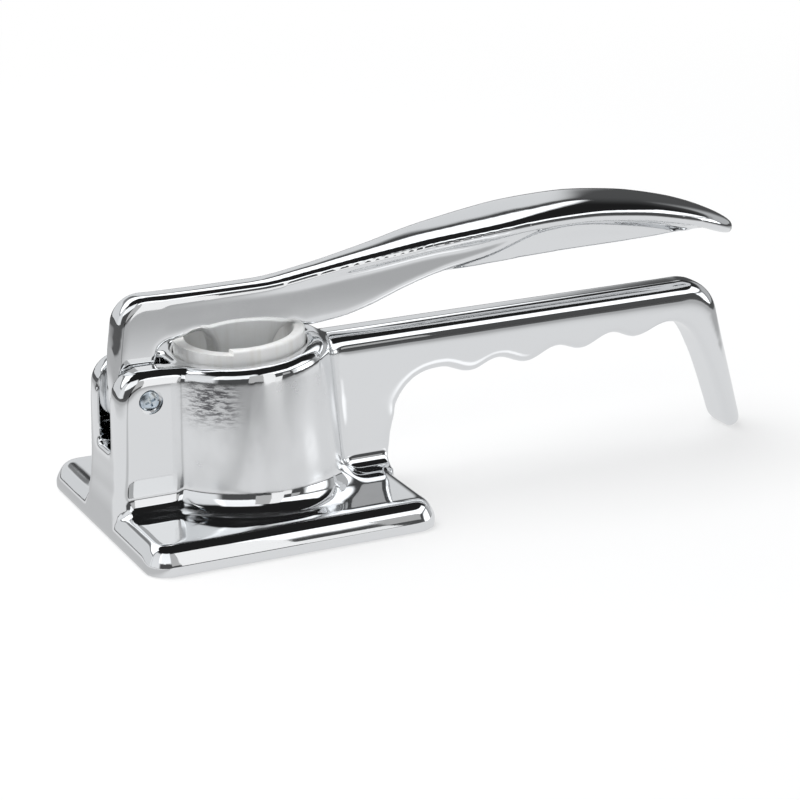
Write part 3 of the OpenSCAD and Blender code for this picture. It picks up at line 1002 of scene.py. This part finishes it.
    def handle_outline(self) -> list[Point2]:
        """List the side outline of the web, finger grip and leg.

        Returns:
            X and Z of the outline in mm.
        """
        points: list[Point2] = [(10, 4), (48.2, 4), (48.4, 9), (48.9, 13), (49.4, 17), (50.6, 25)]
        points += [(51.5, 28.4)]
        points += [(53.0, 31.2), (55.0, 33.7), (57.8, 36.0), (61.0, 37.4), (64.0, 38.0)]
        crests = [(67.4, 38.2), (78.2, 35.3), (88.4, 38.4), (98.8, 35.5), (110.6, 39.3), (119.4, 37.1),
                  (131.2, 40.9), (140.2, 38.2)]
        for (x0, z0), (x1, z1) in zip(crests, crests[1:]):
            for i in range(10):
                share = (1 - math.cos(math.pi * i / 10)) / 2
                points.append((x0 + (x1 - x0) * i / 10, z0 + (z1 - z0) * share))
        for i in range(9):
            share = (1 - math.cos(math.pi * i / 8)) / 2
            points.append((140.2 + 12.6 * i / 8, 38.2 + 3.4 * share))
        points += [(155.5, 41.3), (158.4, 40.2), (161.0, 38.4), (163.2, 36.0), (165.2, 32.8), (167.9, 27.2)]
        points += [(180.2, 18.6), (176.4, 32.0)]
        points += arc(159.5, 40.4, 14.1, 16, 88, 16)
        points += [(157.0, self.handle_top), (10, self.handle_top)]
        return points

    def handle(self) -> Solid:
        """Build the web, finger grip and leg with their rounded edges.

        Returns:
            The web and grip.
        """
        handle = Solid.outline("handle", self.handle_outline(), self.handle_half)

        def upper(a: Vector, b: Vector) -> bool:
            """Tell whether an edge runs along the top or the leg's outer side.

            Args:
                a: One end of the edge in mm.
                b: Its other end in mm.

            Returns:
                True where the edge gets the large rounding.
            """
            middle = (a + b) / 2
            # The leg's outer side lies past a sloping line.
            leg = middle.z > 19 and middle.x > 184 - middle.z * 0.31
            return abs(a.y - b.y) < 0.01 and (middle.z > 50 or leg) and middle.x > 10.1

        def lower(a: Vector, b: Vector) -> bool:
            """Tell whether an edge runs along the underside.

            Args:
                a: One end of the edge in mm.
                b: Its other end in mm.

            Returns:
                True where the edge gets the small rounding.
            """
            middle = (a + b) / 2
            return (abs(a.y - b.y) < 0.01 and abs(abs(a.y) - self.handle_half) < 0.01 and middle.z > 5
                    and middle.x > 45 and not upper(a, b) and abs(a.x - b.x) + abs(a.z - b.z) < 9)

        handle.bevel(upper, self.handle_edge, 9)
        handle.bevel(lower, self.under_edge, 5)
        return handle

    def leg(self) -> Solid:
        """Build the leg down to its rounded foot.

        Returns:
            The leg.
        """
        rows = []
        for z in (31.0, 28.0, 24.0, 20.0, 16.0, 12.0, 8.0, 5.0, 3.4, 2.4, 1.5, 0.8, 0.3, 0.0):
            low = curve_at(self.leg_inner, z)
            high = self.leg_outer + self.leg_slope * (self.leg_top - z)
            melt = 1 - min(1.0, z / self.leg_round)
            inset = self.leg_round * (1 - math.sqrt(1 - melt * melt))
            low, high, half = low + inset * 0.5, high - inset * 0.7, self.handle_half - inset
            outer, inner = min(self.handle_edge, half - 0.3), self.under_edge
            points = arc(high - outer, half - outer, outer, 0, 90, 8)
            points += arc(low + inner, half - inner, inner, 90, 180, 4)
            points += [(x, -y) for x, y in reversed(points)]
            rows.append([place(x, y, z) for x, y in points])
        return Solid.loft("leg", rows)

    def hollow(self, body: Solid) -> None:
        """Cut the bore, its outlet, the slot and the hollow under the base.

        Args:
            body: The casting.
        """
        axis = rim_axis()
        rim = place(0, 0, RIM_HEIGHT)
        x, y = self.base_x - self.wall, self.base_y - self.wall
        under = Solid.block("under", place(-x, -y, -5), place(x, y, self.base_top - self.skin))
        collar = Solid.rod("collar", self.bore, place(0, 0, -6), place(0, 0, self.base_top + 2))
        under.combine(collar, "DIFFERENCE")
        body.combine(under, "DIFFERENCE")
        depth = RIM_HEIGHT - self.seat_height
        bore = Solid.rod("bore", self.bore, rim - axis * depth * MM, rim + axis * 20 * MM, self.sides)
        body.combine(bore, "DIFFERENCE")
        outlet = Solid.rod("outlet", self.seat_radius, place(0, 0, -8), rim - axis * (depth - 4) * MM, 96)
        body.combine(outlet, "DIFFERENCE")
        slot = Solid.block("slot", place(-60, -self.slot_half, self.slot_floor),
                           place(self.slot_end, self.slot_half, 80))
        body.combine(slot, "DIFFERENCE")

    def fillets(self) -> list[Solid]:
        """Build the fillets between the base, barrel, yoke and web.

        Returns:
            The fillets, which overlap the casting.
        """
        strips = []
        foot = self.base_top - 3
        for side in (-1, 1):
            strips += [self.foot_strip(side, 2.4 - self.yoke_rear, -14.0, self.yoke_half, self.side_fillet),
                       self.foot_strip(side, 22.0, 47.6, self.handle_half, self.side_fillet),
                       self.upright_fillet(side, self.handle_half, 6.0, 1, foot, RIM_HEIGHT - 4.6),
                       self.upright_fillet(side, self.yoke_half, 2.4, -1, foot, RIM_HEIGHT - 4.2)]
        return strips

    def build(self) -> Solid:
        """Join the parts, cut the openings and melt the edges.

        Returns:
            The finished casting.
        """
        body = self.base()
        body.combine(self.yoke(), "UNION")
        body.combine(self.handle(), "UNION")
        body.combine(self.barrel(), "UNION")
        self.hollow(body)
        body.join(self.fillets() + [self.leg()])
        body.cast(self.grain, self.softness)
        x, z = HINGE
        side = self.yoke_half
        floor = side - self.recess_depth
        recess = Solid.rod("recess", self.head_recess, place(x, -side - 3, z), place(x, -floor, z), 64)
        recess.join([Solid.rod("far", self.head_recess, place(x, side + 3, z), place(x, floor, z), 64)])
        body.combine(recess, "DIFFERENCE")
        hole = Solid.rod("hole", self.screw_hole, place(x, -side - 5, z), place(x, side + 5, z), 48)
        body.combine(hole, "DIFFERENCE")
        return body.shade(40)


@dataclass
class Lever:
    """The upper lever: hub, web, tongue and a spoon-like grip.

    Lengths are in mm about the barrel's axis. The curves give a value against X: the height of the back, the
    half width, how far the back's rounding reaches down, where the flank ends on the web, where the rib's
    recessed face begins, and the lower edge.
    """

    half: float = 4.66
    rib: float = 3.2
    edge: float = 2.7
    hinge_bore: float = 2.86
    pin_bore: float = 2.0
    tip: float = 163.0
    lowest_lip: float = 66.0
    grip_blend: Point2 = (66.0, 84.0)
    crown_blend: Point2 = (90.0, 120.0)
    web_power: float = 2.9
    grip_power: float = 2.4
    rib_draft: float = 0.085
    grain: float = 0.45
    softness: int = 28
    pull: float = 0.62
    back: tuple[Point2, ...] = ((-30, 74.2), (2, 74.2), (8, 74.3), (14, 74.9), (21.4, 76.0), (28, 77.0),
        (35, 78.2), (48.8, 80.6), (63, 83.2), (77.3, 85.1), (85.5, 86.1), (97.8, 87.5), (112.9, 88.5),
        (121.6, 88.5), (134.8, 87.2), (143.7, 85.8), (156.9, 82.6), (165.1, 79.9), (172.0, 76.9),
        (176.0, 74.6), (178.0, 73.0), (179.0, 71.7))
    widths: tuple[Point2, ...] = ((-26, 4.75), (6, 4.85), (19, 5.1), (32, 5.9), (45, 7.5), (58, 9.7),
        (72, 11.7), (85, 13.3), (97, 14.0), (150, 14.0), (160, 13.6), (167, 12.4), (172.5, 10.0),
        (176.0, 7.2), (178.0, 4.4), (179.0, 2.4))
    drops: tuple[Point2, ...] = ((-26, 2.5), (19, 2.4), (32, 2.5), (45, 2.9), (60, 3.2), (85, 3.5),
        (100, 3.9), (121, 4.7), (145, 4.8), (160, 4.4), (172, 3.8), (179.0, 1.5))
    roots: tuple[Point2, ...] = ((-26, 70.4), (14, 70.6), (32, 72.4), (46, 73.7), (60, 75.2), (75, 76.4),
        (90, 78.4), (102, 79.7), (117, 80.3), (126, 79.6), (142.7, 77.0), (155, 74.2), (166, 71.4),
        (179.0, 68.4))
    steps: tuple[Point2, ...] = ((-26, 55.0), (52, 62.0), (60, 67.2), (68, 69.9), (75, 71.2), (86.7, 73.4),
        (94, 75.7), (101.7, 78.2), (109, 79.3), (117, 79.7), (126, 79.0), (142.7, 76.2), (155, 73.4),
        (166, 70.6), (179.0, 67.6))
    foot: tuple[Point2, ...] = ((-26, 64.0), (15, 64.0), (17, 59.6), (21.0, 58.2), (26.0, 58.3),
        (33.0, 59.2), (39.9, 60.8), (45.0, 62.3), (54.0, 65.5), (62.2, 68.0), (68.2, 69.3), (74.0, 69.1),
        (80.8, 69.2), (111.7, 70.2), (133.3, 70.5), (146.7, 70.9), (158.0, 71.5), (163.0, 72.3))

    def hub_outline(self) -> list[Point2]:
        """List the side outline of the hub, the flat top and the tongue.

        Returns:
            X and Z of the outline in mm.
        """
        points: list[Point2] = []
        points += arc(-39.2, 38.6, 4.0, 270, 190, 6)
        points += [(-43.5, 42.0), (-43.3, 50.0), (-42.7, 58.0), (-41.8, 65.0)]
        points += arc(-32.2, 64.9, 9.6, 168, 92, 10)
        points += [(-28.0, 74.3), (4.0, 74.0), (10.0, 73.6), (20.0, 73.6)]
        points += [(20.0, 59.9), (16.0, 59.9), (12.4, 58.6), (9.8, 55.0), (9.6, 44.0), (9.6, 30.0),
                   (-9.6, 30.0), (-9.6, 54.4), (-10.5, 57.8), (-13.8, 61.4), (-17.0, 61.2), (-21.5, 60.0),
                   (-26.4, 59.2), (-28.3, 57.6), (-29.3, 54.0), (-29.3, 37.6)]
        points += arc(-32.4, 37.6, 3.2, 0, -80, 5)[1:]
        return points

    def hub(self) -> Solid:
        """Build the hub and the tongue with rounded upper and rear edges.

        Returns:
            The hub and tongue.
        """
        hub = Solid.outline("hub", self.hub_outline(), self.half)

        def outer(a: Vector, b: Vector) -> bool:
            """Tell whether an edge runs along the rear or the top.

            Args:
                a: One end of the edge in mm.
                b: Its other end in mm.

            Returns:
                True where the edge is rounded.
            """
            middle = (a + b) / 2
            rear = middle.x < -30 and middle.z > 40 and middle.x < -33.5 + max(0.0, middle.z - 60) * 0.5
            return abs(a.y - b.y) < 0.01 and (rear or (middle.z > 73.5 and middle.x < 20 and middle.x > -31))

        return hub.bevel(outer, self.edge, 9)

    def section(self, x: float) -> list[Vector]:
        """Draw the lever's section at x: a rounded back, lips, flaring sides and the rib.

        Args:
            x: Distance from the barrel's axis in mm.

        Returns:
            The section's closed line in metres.
        """
        top = curve_at(self.back, x)
        half = curve_at(self.widths, x)
        grip = smooth_step(*self.grip_blend, x)
        drop = min(curve_at(self.drops, x), top - self.lowest_lip)
        power = self.web_power + (self.grip_power - self.web_power) * smooth_step(*self.crown_blend, x)
        lip = 0.3 + 1.7 * grip * min(1.0, half / 8)
        count = 30
        points = []
        for i in range(count + 1):
            angle = math.pi * i / count
            y = -math.copysign(abs(math.cos(angle)) ** (2 / power), math.cos(angle)) * half
            points.append((y, top - drop + drop * math.sin(angle) ** (2 / power)))
        edge = top - drop - lip
        face = min(self.half, half * 0.93 if x < 60 else half * 0.8)
        bottom = curve_at(self.foot, x) if x < self.tip else edge - 0.9
        root = max(min(curve_at(self.roots, x), edge - 0.4), bottom + 0.5)
        step = max(min(curve_at(self.steps, x), root - 0.25), bottom + 0.1)
        rib = min(face, self.rib + (self.half - self.rib) * (1 - smooth_step(0.2, 1.4, step - bottom)))
        foot_half = max(rib - self.rib_draft * (step - bottom), 0.3)
        right = []
        for i in range(1, 10):
            inward, down = flank_point(half - face, top - drop - root, i / 9)
            soft = half - inward, top - drop - down
            if i < 3:
                sharp = half - 0.25 * lip * i, top - drop - 0.5 * lip * i
            else:
                along = (i - 2) / 7
                inner = half - 0.5 * lip
                sharp = inner + (face - inner) * along, edge + (root - edge) * along ** 1.9
            right.append((soft[0] + (sharp[0] - soft[0]) * grip, soft[1] + (sharp[1] - soft[1]) * grip))
        soft_edge = min(1.0, step - bottom)
        right += [(face, step),
                  ((face + rib) / 2 + 0.1, step - 0.25 * soft_edge),
                  (rib, step - 0.6 * soft_edge),
                  (foot_half, bottom + 0.25 * soft_edge),
                  (foot_half * 0.8, bottom)]
        points += right
        points += [(-y, z) for y, z in reversed(right)]
        return [place(x, y, z) for y, z in points]

    def blade(self) -> Solid:
        """Build the rising web and the grip as a skin through sections.

        Returns:
            The web and grip.
        """
        stations = [-26.0, -12.0, 0.0, 4.0, 8.0, 12.0, 14.0, 17.0] + [20.0 + 2.5 * i for i in range(58)]
        stations += [166.0, 168.5, 171.0, 173.0, 175.0, 176.4, 177.4, 178.3, 179.0]
        return Solid.loft("blade", [self.section(x) for x in stations])

    def build(self) -> Solid:
        """Melt the hub and the blade into one casting and bore the hinge.

        Returns:
            The finished lever.
        """
        lever = self.hub()
        lever.join([self.blade()])
        lever.cast(self.grain, self.softness, self.pull)
        for name, radius, (x, z) in (("hinge", self.hinge_bore, HINGE), ("pin", self.pin_bore, PIN)):
            bore = Solid.rod(name, radius, place(x, -12, z), place(x, 12, z), 48)
            lever.combine(bore, "DIFFERENCE")
        return lever.shade(40)


@dataclass
class Cup:
    """The lift-out sieve cup. Lengths are in mm, with heights from the barrel's rim along the bore."""

    outer: float = 20.7
    inner: float = 17.2
    depth: float = 37.2
    stand: float = 4.1
    ledge: float = 2.6
    relief: float = 1.9
    relief_end: float = -9.5
    sides: int = 128

    def build(self) -> Solid:
        """Turn the cup and cut the relief in its rim.

        Returns:
            The finished cup.
        """
        top, low = self.stand, self.stand - self.depth
        seat = self.inner - self.ledge
        profile = [(seat, low), (self.outer - 0.6, low), (self.outer, low + 0.6), (self.outer, -1.0)]
        profile += arc(self.outer - 0.7, top - 0.7, 0.7, 0, 90, 5)
        profile += arc(self.inner + 0.5, top - 0.5, 0.5, 90, 180, 4)
        profile += [(self.inner, low + 2.0), (seat, low + 2.0)]
        cup = Solid.turned("cup_wall", profile, place(0, 0, RIM_HEIGHT), rim_axis(), self.sides)
        edge = RIM_HEIGHT + self.stand
        relief = Solid.block("relief", place(-30, -30, edge - self.relief),
                             place(self.relief_end, 30, edge + 3))
        cup.combine(relief, "DIFFERENCE")
        return cup.shade(35)


@dataclass
class Screw:
    """The hinge screw's head and shank. Lengths are in mm, with places along the screw from the middle."""

    seat: float = 11.7
    head: float = 3.3
    height: float = 1.7
    shank: float = 1.6
    inner_end: float = -7.6

    def build(self) -> Solid:
        """Turn the screw and sink its cross recess.

        Returns:
            The finished screw.
        """
        centre = place(HINGE[0], 0, HINGE[1])
        head, seat, end = self.head, self.seat, self.seat + self.height
        profile = [(0.05, self.inner_end), (self.shank, self.inner_end), (self.shank, seat), (head, seat)]
        profile += [(head, seat + 0.7), (head - 0.25, seat + 1.15), (head - 0.9, seat + 1.5)]
        profile += [(head - 1.9, end), (0.05, end)]
        screw = Solid.turned("screw", profile, centre, Vector((0, -1, 0)), 64)
        upright = Matrix.Translation(centre) @ Matrix.Rotation(math.radians(90), 4, "X")
        for turn in (20, 110):
            slot = Solid.block("slot", Vector((-1.75, -0.36, seat + 0.7)) * MM,
                               Vector((1.75, 0.36, seat + 3)) * MM)
            slot.obj.data.transform(upright @ Matrix.Rotation(math.radians(turn), 4, "Z"))
            screw.combine(slot, "DIFFERENCE")
        return screw.shade(30)


@dataclass
class Plunger:
    """The plunger on its pin. Lengths are in mm, with heights from the pin."""

    radius: float = 15.4
    low: float = -7.0
    high: float = -1.0
    lug: float = 4.5
    lug_inner: float = 5.05
    lug_outer: float = 9.05
    bore: float = 2.06

    def build(self) -> Solid:
        """Turn the disc, add its lugs and cut the tongue's pocket.

        Returns:
            The finished plunger.
        """
        x, z = PIN
        angles = [math.degrees(math.asin(h / self.radius)) for h in (self.low + 0.5, self.high - 0.3)]
        profile = [(0.05, self.low), (12.9, self.low)]
        profile += arc(0, 0, self.radius, angles[0], angles[1], 10)
        profile += [(14.6, self.high), (0.05, self.high)]
        disc = Solid.turned("disc", profile, place(x, 0, z), Vector((0, 0, 1)), 96)
        for side in (-1, 1):
            inner, outer = side * self.lug_inner, side * self.lug_outer
            disc.combine(Solid.rod("lug", self.lug, place(x, inner, z), place(x, outer, z), 48), "UNION")
            post = Solid.block("post", place(x - self.lug, min(inner, outer), z - self.lug),
                               place(x + self.lug, max(inner, outer), z))
            disc.combine(post, "UNION")
        pocket = Solid.block("pocket", place(-10.4, -5.06, z - 5.0), place(10.4, 5.06, z + 20))
        disc.combine(pocket, "DIFFERENCE")
        disc.combine(Solid.rod("bore", self.bore, place(x, -12, z), place(x, 12, z), 48), "DIFFERENCE")
        disc.apply("BEVEL", width=0.35 * MM, segments=2, limit_method="ANGLE", angle_limit=math.radians(50),
                   use_clamp_overlap=True)
        return disc.shade(35)


@dataclass(frozen=True)
class Glow:
    """A bright patch of the room. Its bands are start, end and soft edge in degrees."""

    turn: Point3
    rise: Point3
    strength: float

    def shade(self, turn: Socket, rise: Socket) -> Socket:
        """Give the patch's brightness in a direction, by its angle and elevation in degrees."""
        return turn.band(*self.turn) * rise.band(*self.rise) * self.strength


@dataclass(frozen=True)
class Fade:
    """A change of the floor's brightness between two distances in metres."""

    start: float
    end: float
    depth: float

    def shade(self, reach: Socket) -> Socket:
        """Give the change at a distance."""
        return reach.ramp(self.start, self.end) * self.depth


@dataclass(frozen=True)
class Card:
    """A thin upright card that only shows in the metal. Its corners are in mm, and a glow of 1 is white."""

    name: str
    low: Point3
    high: Point3
    glow: float

    def build(self) -> None:
        """Stand the card up."""
        card = Solid.block(self.name, place(*self.low), place(*self.high)).obj
        material, graph = new_material(self.name)
        light = graph.node("ShaderNodeEmission", {}, {"Color": WHITE, "Strength": self.glow})
        graph.node("ShaderNodeOutputMaterial", {}, {"Surface": light.outputs[0]})
        card.data.materials.append(material)
        card.visible_camera = False
        card.visible_diffuse = False
        card.visible_shadow = False
        card.visible_transmission = False


@dataclass
class Studio:
    """The floor, the light and the camera.

    The camera's place is in mm about the barrel's axis. The floor and its lights in the metal are in metres.
    """

    camera: Point3 = (-305.39, -736.76, 312.72)
    forward: Point3 = (0.41573, 0.84794, -0.32890)
    lens: float = 120.8
    sensor: float = 36.0
    floor_size: float = 12.0
    floor_glow: float = 0.79
    floor_mirror: float = 0.92
    floor_core: float = 0.10
    paper: Point3 = (0.86, 0.86, 0.86)
    floor_tint: Point3 = (0.985, 0.99, 1.0)
    # Painted falloff of the floor's glow outwards, seen in the metal.
    floor_light_falloff: tuple[Fade, ...] = (Fade(0.14, 0.215, 0.38), Fade(0.25, 0.34, 0.39))
    # Painted shadow: a darker strip of the floor beside the base's left side, seen in the metal.
    strip: Fade = Fade(0.112, 0.118, 0.26)
    painted_shadow_end: Point2 = (0.128, 0.150)
    # Painted pool of light: a bright spot on the floor at this place, seen in the metal.
    light_pool_at: Point2 = (0.043, -0.073)
    spot: Fade = Fade(0.010, 0.032, 0.42)
    clear: Fade = Fade(0.22, 0.75, 0.45)
    gap: Glow = Glow((-80.0, 4.0, 5.0), (22.0, 31.0, 2.0), 0.16)
    backdrop: Glow = Glow((-80.0, 30.0, 2.5), (-5.0, 23.5, 1.6), 0.66)
    panel: Glow = Glow((-75.0, 35.0, 2.5), (29.0, 61.0, 1.5), 1.5)
    streak: Glow = Glow((95.0, 178.0, 4.0), (27.0, 45.0, 1.5), 1.5)
    near: Glow = Glow((-178.0, -120.0, 5.0), (24.0, 56.0, 2.0), 1.1)
    side: Glow = Glow((98.0, 130.0, 5.0), (-5.0, 22.0, 4.0), 1.8)
    left: Glow = Glow((-125.0, -80.0, 6.0), (-5.0, 50.0, 5.0), 0.8)
    right: Glow = Glow((48.0, 92.0, 6.0), (-5.0, 26.0, 4.0), 0.4)
    room: Fade = Fade(18.0, 45.0, 0.065)
    ceiling: float = 0.015
    room_tint: Point3 = (0.97, 0.985, 1.0)
    lamp_at: Point3 = (-0.5, 0.35, 1.7)
    lamp_width: float = 1.6
    lamp_watts: float = 26.0
    cards: tuple[Card, ...] = (Card("dim_card", (-46, -204, 36), (16, -202, 205), 0.5),
                               Card("front_card", (16, -204, 12), (66, -202, 205), 1.02),
                               Card("low_card", (66, -204, 6), (104, -202, 66), 0.97),
                               Card("grey_card", (106, -204, 70), (156, -202, 112), 0.46))

    def sheet(self, x: Socket, y: Socket, reach: Socket) -> Socket:
        """Give the floor's painted brightness in the metal: a painted falloff of light outwards, a strip of
        painted shadow beside the base's left side and a painted pool of light.

        Args:
            x: Distance along the handle in metres.
            y: Distance towards the far side in metres.
            reach: Distance from the middle line in metres.

        Returns:
            The brightness.
        """
        # Painted falloff of light outwards.
        sheet = self.floor_glow - self.floor_light_falloff[0].shade(reach) - self.floor_light_falloff[1].shade(reach)
        behind = x * -1.0
        # Painted shadow strip beside the base's left side.
        strip = behind.ramp(self.strip.start, self.strip.end) * (1.0 - behind.ramp(*self.painted_shadow_end))
        sheet = sheet - strip * self.strip.depth
        # Painted pool of light.
        spot_x, spot_y = x - self.light_pool_at[0], y - self.light_pool_at[1]
        away = (spot_x * spot_x + spot_y * spot_y).maths("SQRT")
        return sheet + (1.0 - away.ramp(self.spot.start, self.spot.end)) * self.spot.depth

    def floor(self) -> None:
        """Lay a pale sheet that keeps the object's shadow and turns pure white away from the object."""
        Solid.clear_selection()
        bpy.ops.mesh.primitive_plane_add(size=self.floor_size)
        floor = bpy.context.active_object
        floor.name = "floor"
        material, graph = new_material("pale_floor")
        seen = graph.node("ShaderNodeLightPath", {}, {})
        camera = Socket(graph, seen.outputs["Is Camera Ray"])
        glossy = Socket(graph, seen.outputs["Is Glossy Ray"])
        x, y, _ = graph.parts(graph.place())
        along = (x.maths("ABSOLUTE") - self.floor_core).maths("MAXIMUM", 0.0)
        reach = (along * along + y * y).maths("SQRT")
        paper = graph.node("ShaderNodeBsdfDiffuse", {}, {"Color": self.paper})
        glow = graph.node("ShaderNodeEmission", {}, {"Color": WHITE, "Strength": 1.0})
        # In the metal the floor shows this glowing sheet of painted light and shade.
        card = graph.node("ShaderNodeEmission", {}, {"Color": self.floor_tint,
                                                     "Strength": self.sheet(x, y, reach)})
        clear = camera * (self.clear.shade(reach) + (1.0 - self.clear.depth))
        mix = graph.node("ShaderNodeMixShader", {}, {0: clear, 1: paper.outputs[0], 2: glow.outputs[0]})
        shine = graph.node("ShaderNodeMixShader", {}, {0: glossy * self.floor_mirror, 1: mix.outputs[0],
                                                       2: card.outputs[0]})
        graph.node("ShaderNodeOutputMaterial", {}, {"Surface": shine.outputs[0]})
        floor.data.materials.append(material)

    def world(self) -> None:
        """Light the room: a white backdrop, a panel over it, patches beside it and a dark ceiling."""
        world = bpy.data.worlds.new("studio")
        bpy.context.scene.world = world
        world.use_nodes = True
        graph = Graph(world.node_tree)
        x, y, z = graph.parts(graph.node("ShaderNodeTexCoord", {}, {}).outputs["Generated"])
        flat = (x * x + y * y).maths("SQRT")
        rise = graph.maths("ARCTAN2", z, flat) * (180 / math.pi)
        turn = graph.maths("ARCTAN2", x, y) * (180 / math.pi)
        glow = self.gap.shade(turn, rise)
        for patch in (self.backdrop, self.panel, self.streak, self.near, self.side, self.left, self.right):
            glow = glow + patch.shade(turn, rise)
        glow = glow + (self.room.depth * (1.0 - rise.ramp(self.room.start, self.room.end)) + self.ceiling)
        seen = graph.node("ShaderNodeLightPath", {}, {})
        plain = graph.node("ShaderNodeBackground", {}, {"Color": WHITE, "Strength": 1.0})
        lit = graph.node("ShaderNodeBackground", {}, {"Color": self.room_tint, "Strength": glow})
        mix = graph.node("ShaderNodeMixShader", {}, {0: seen.outputs["Is Camera Ray"], 1: lit.outputs[0],
                                                     2: plain.outputs[0]})
        graph.node("ShaderNodeOutputWorld", {}, {"Surface": mix.outputs[0]})

    def lamp(self) -> None:
        """Hang one large soft lamp for the floor and the matte metal."""
        data = bpy.data.lights.new("soft_lamp", "AREA")
        data.shape = "DISK"
        data.size = self.lamp_width
        data.energy = self.lamp_watts
        lamp = bpy.data.objects.new("soft_lamp", data)
        bpy.context.scene.collection.objects.link(lamp)
        lamp.location = self.lamp_at
        lamp.rotation_euler = (-Vector(self.lamp_at)).to_track_quat("-Z", "Y").to_euler()
        lamp.visible_glossy = False

    def view(self) -> None:
        """Set the camera."""
        data = bpy.data.cameras.new("camera")
        data.lens = self.lens
        data.sensor_width = self.sensor
        data.clip_start = 0.01
        data.clip_end = 50.0
        camera = bpy.data.objects.new("camera", data)
        bpy.context.scene.collection.objects.link(camera)
        camera.location = place(*self.camera)
        camera.rotation_euler = Vector(self.forward).to_track_quat("-Z", "Y").to_euler()
        bpy.context.scene.camera = camera

    def build(self) -> None:
        """Set up the whole studio."""
        self.view()
        self.world()
        self.lamp()
        self.floor()
        for card in self.cards:
            card.build()
        bpy.context.scene.view_settings.view_transform = "Standard"


def dress(piece: Solid, name: str, body: str, material: bpy.types.Material, node: str) -> None:
    """Give a piece its name, body and finish, and hide the CAD node that it stands for.

    Args:
        piece: The piece.
        name: Its name.
        body: Body that it rides on.
        material: Its material.
        node: CAD node that it replaces.
    """
    piece.obj.name = name
    piece.obj.data.materials.clear()
    piece.obj.data.materials.append(material)
    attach(piece.obj, body)
    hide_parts(node)
    LOG.info("%s: %d triangles, rides on %s", name, piece.triangles(), body)


def dress_node(name: str, material: bpy.types.Material) -> None:
    """Give a CAD node a material.

    Args:
        name: Name of the node.
        material: Its material.
    """
    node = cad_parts[name]
    obj = node if isinstance(node, bpy.types.Object) else bpy.data.objects[name]
    for slot in obj.material_slots:
        slot.material = material
    LOG.info("%s: CAD node", name)


def main() -> None:
    """Build the studio and every piece in order."""
    logging.basicConfig(level=logging.INFO, format="%(name)s: %(message)s")
    Studio().build()
    body_chrome = ChromeFinish(name="chrome_body", spot=Spot.BARREL).build()
    lever_chrome = ChromeFinish(name="chrome_lever").build()
    cast = CastFinish(name="bare_aluminium").build()
    plate = CastFinish(name="sieve_steel", light=(0.74, 0.75, 0.76), dark=(0.60, 0.60, 0.60), metallic=1.0,
                       rough=0.24).build()
    zinc = ZincFinish().build()
    dress(Body().build(), "press_body", "frame", body_chrome, "body_casting")
    dress(Lever().build(), "press_lever", "lever", lever_chrome, "lever")
    dress(Cup().build(), "press_cup", "frame", cast, "sieve_cup")
    dress(Screw().build(), "press_screw", "frame", zinc, "hinge_screw")
    dress(Plunger().build(), "press_plunger", "plunger", cast, "plunger")
    dress_node("sieve_plate", plate)
    dress_node("plunger_pin", plate)
    dress_node("hinge_sleeve", zinc)


if __name__ == "__main__":
    main()
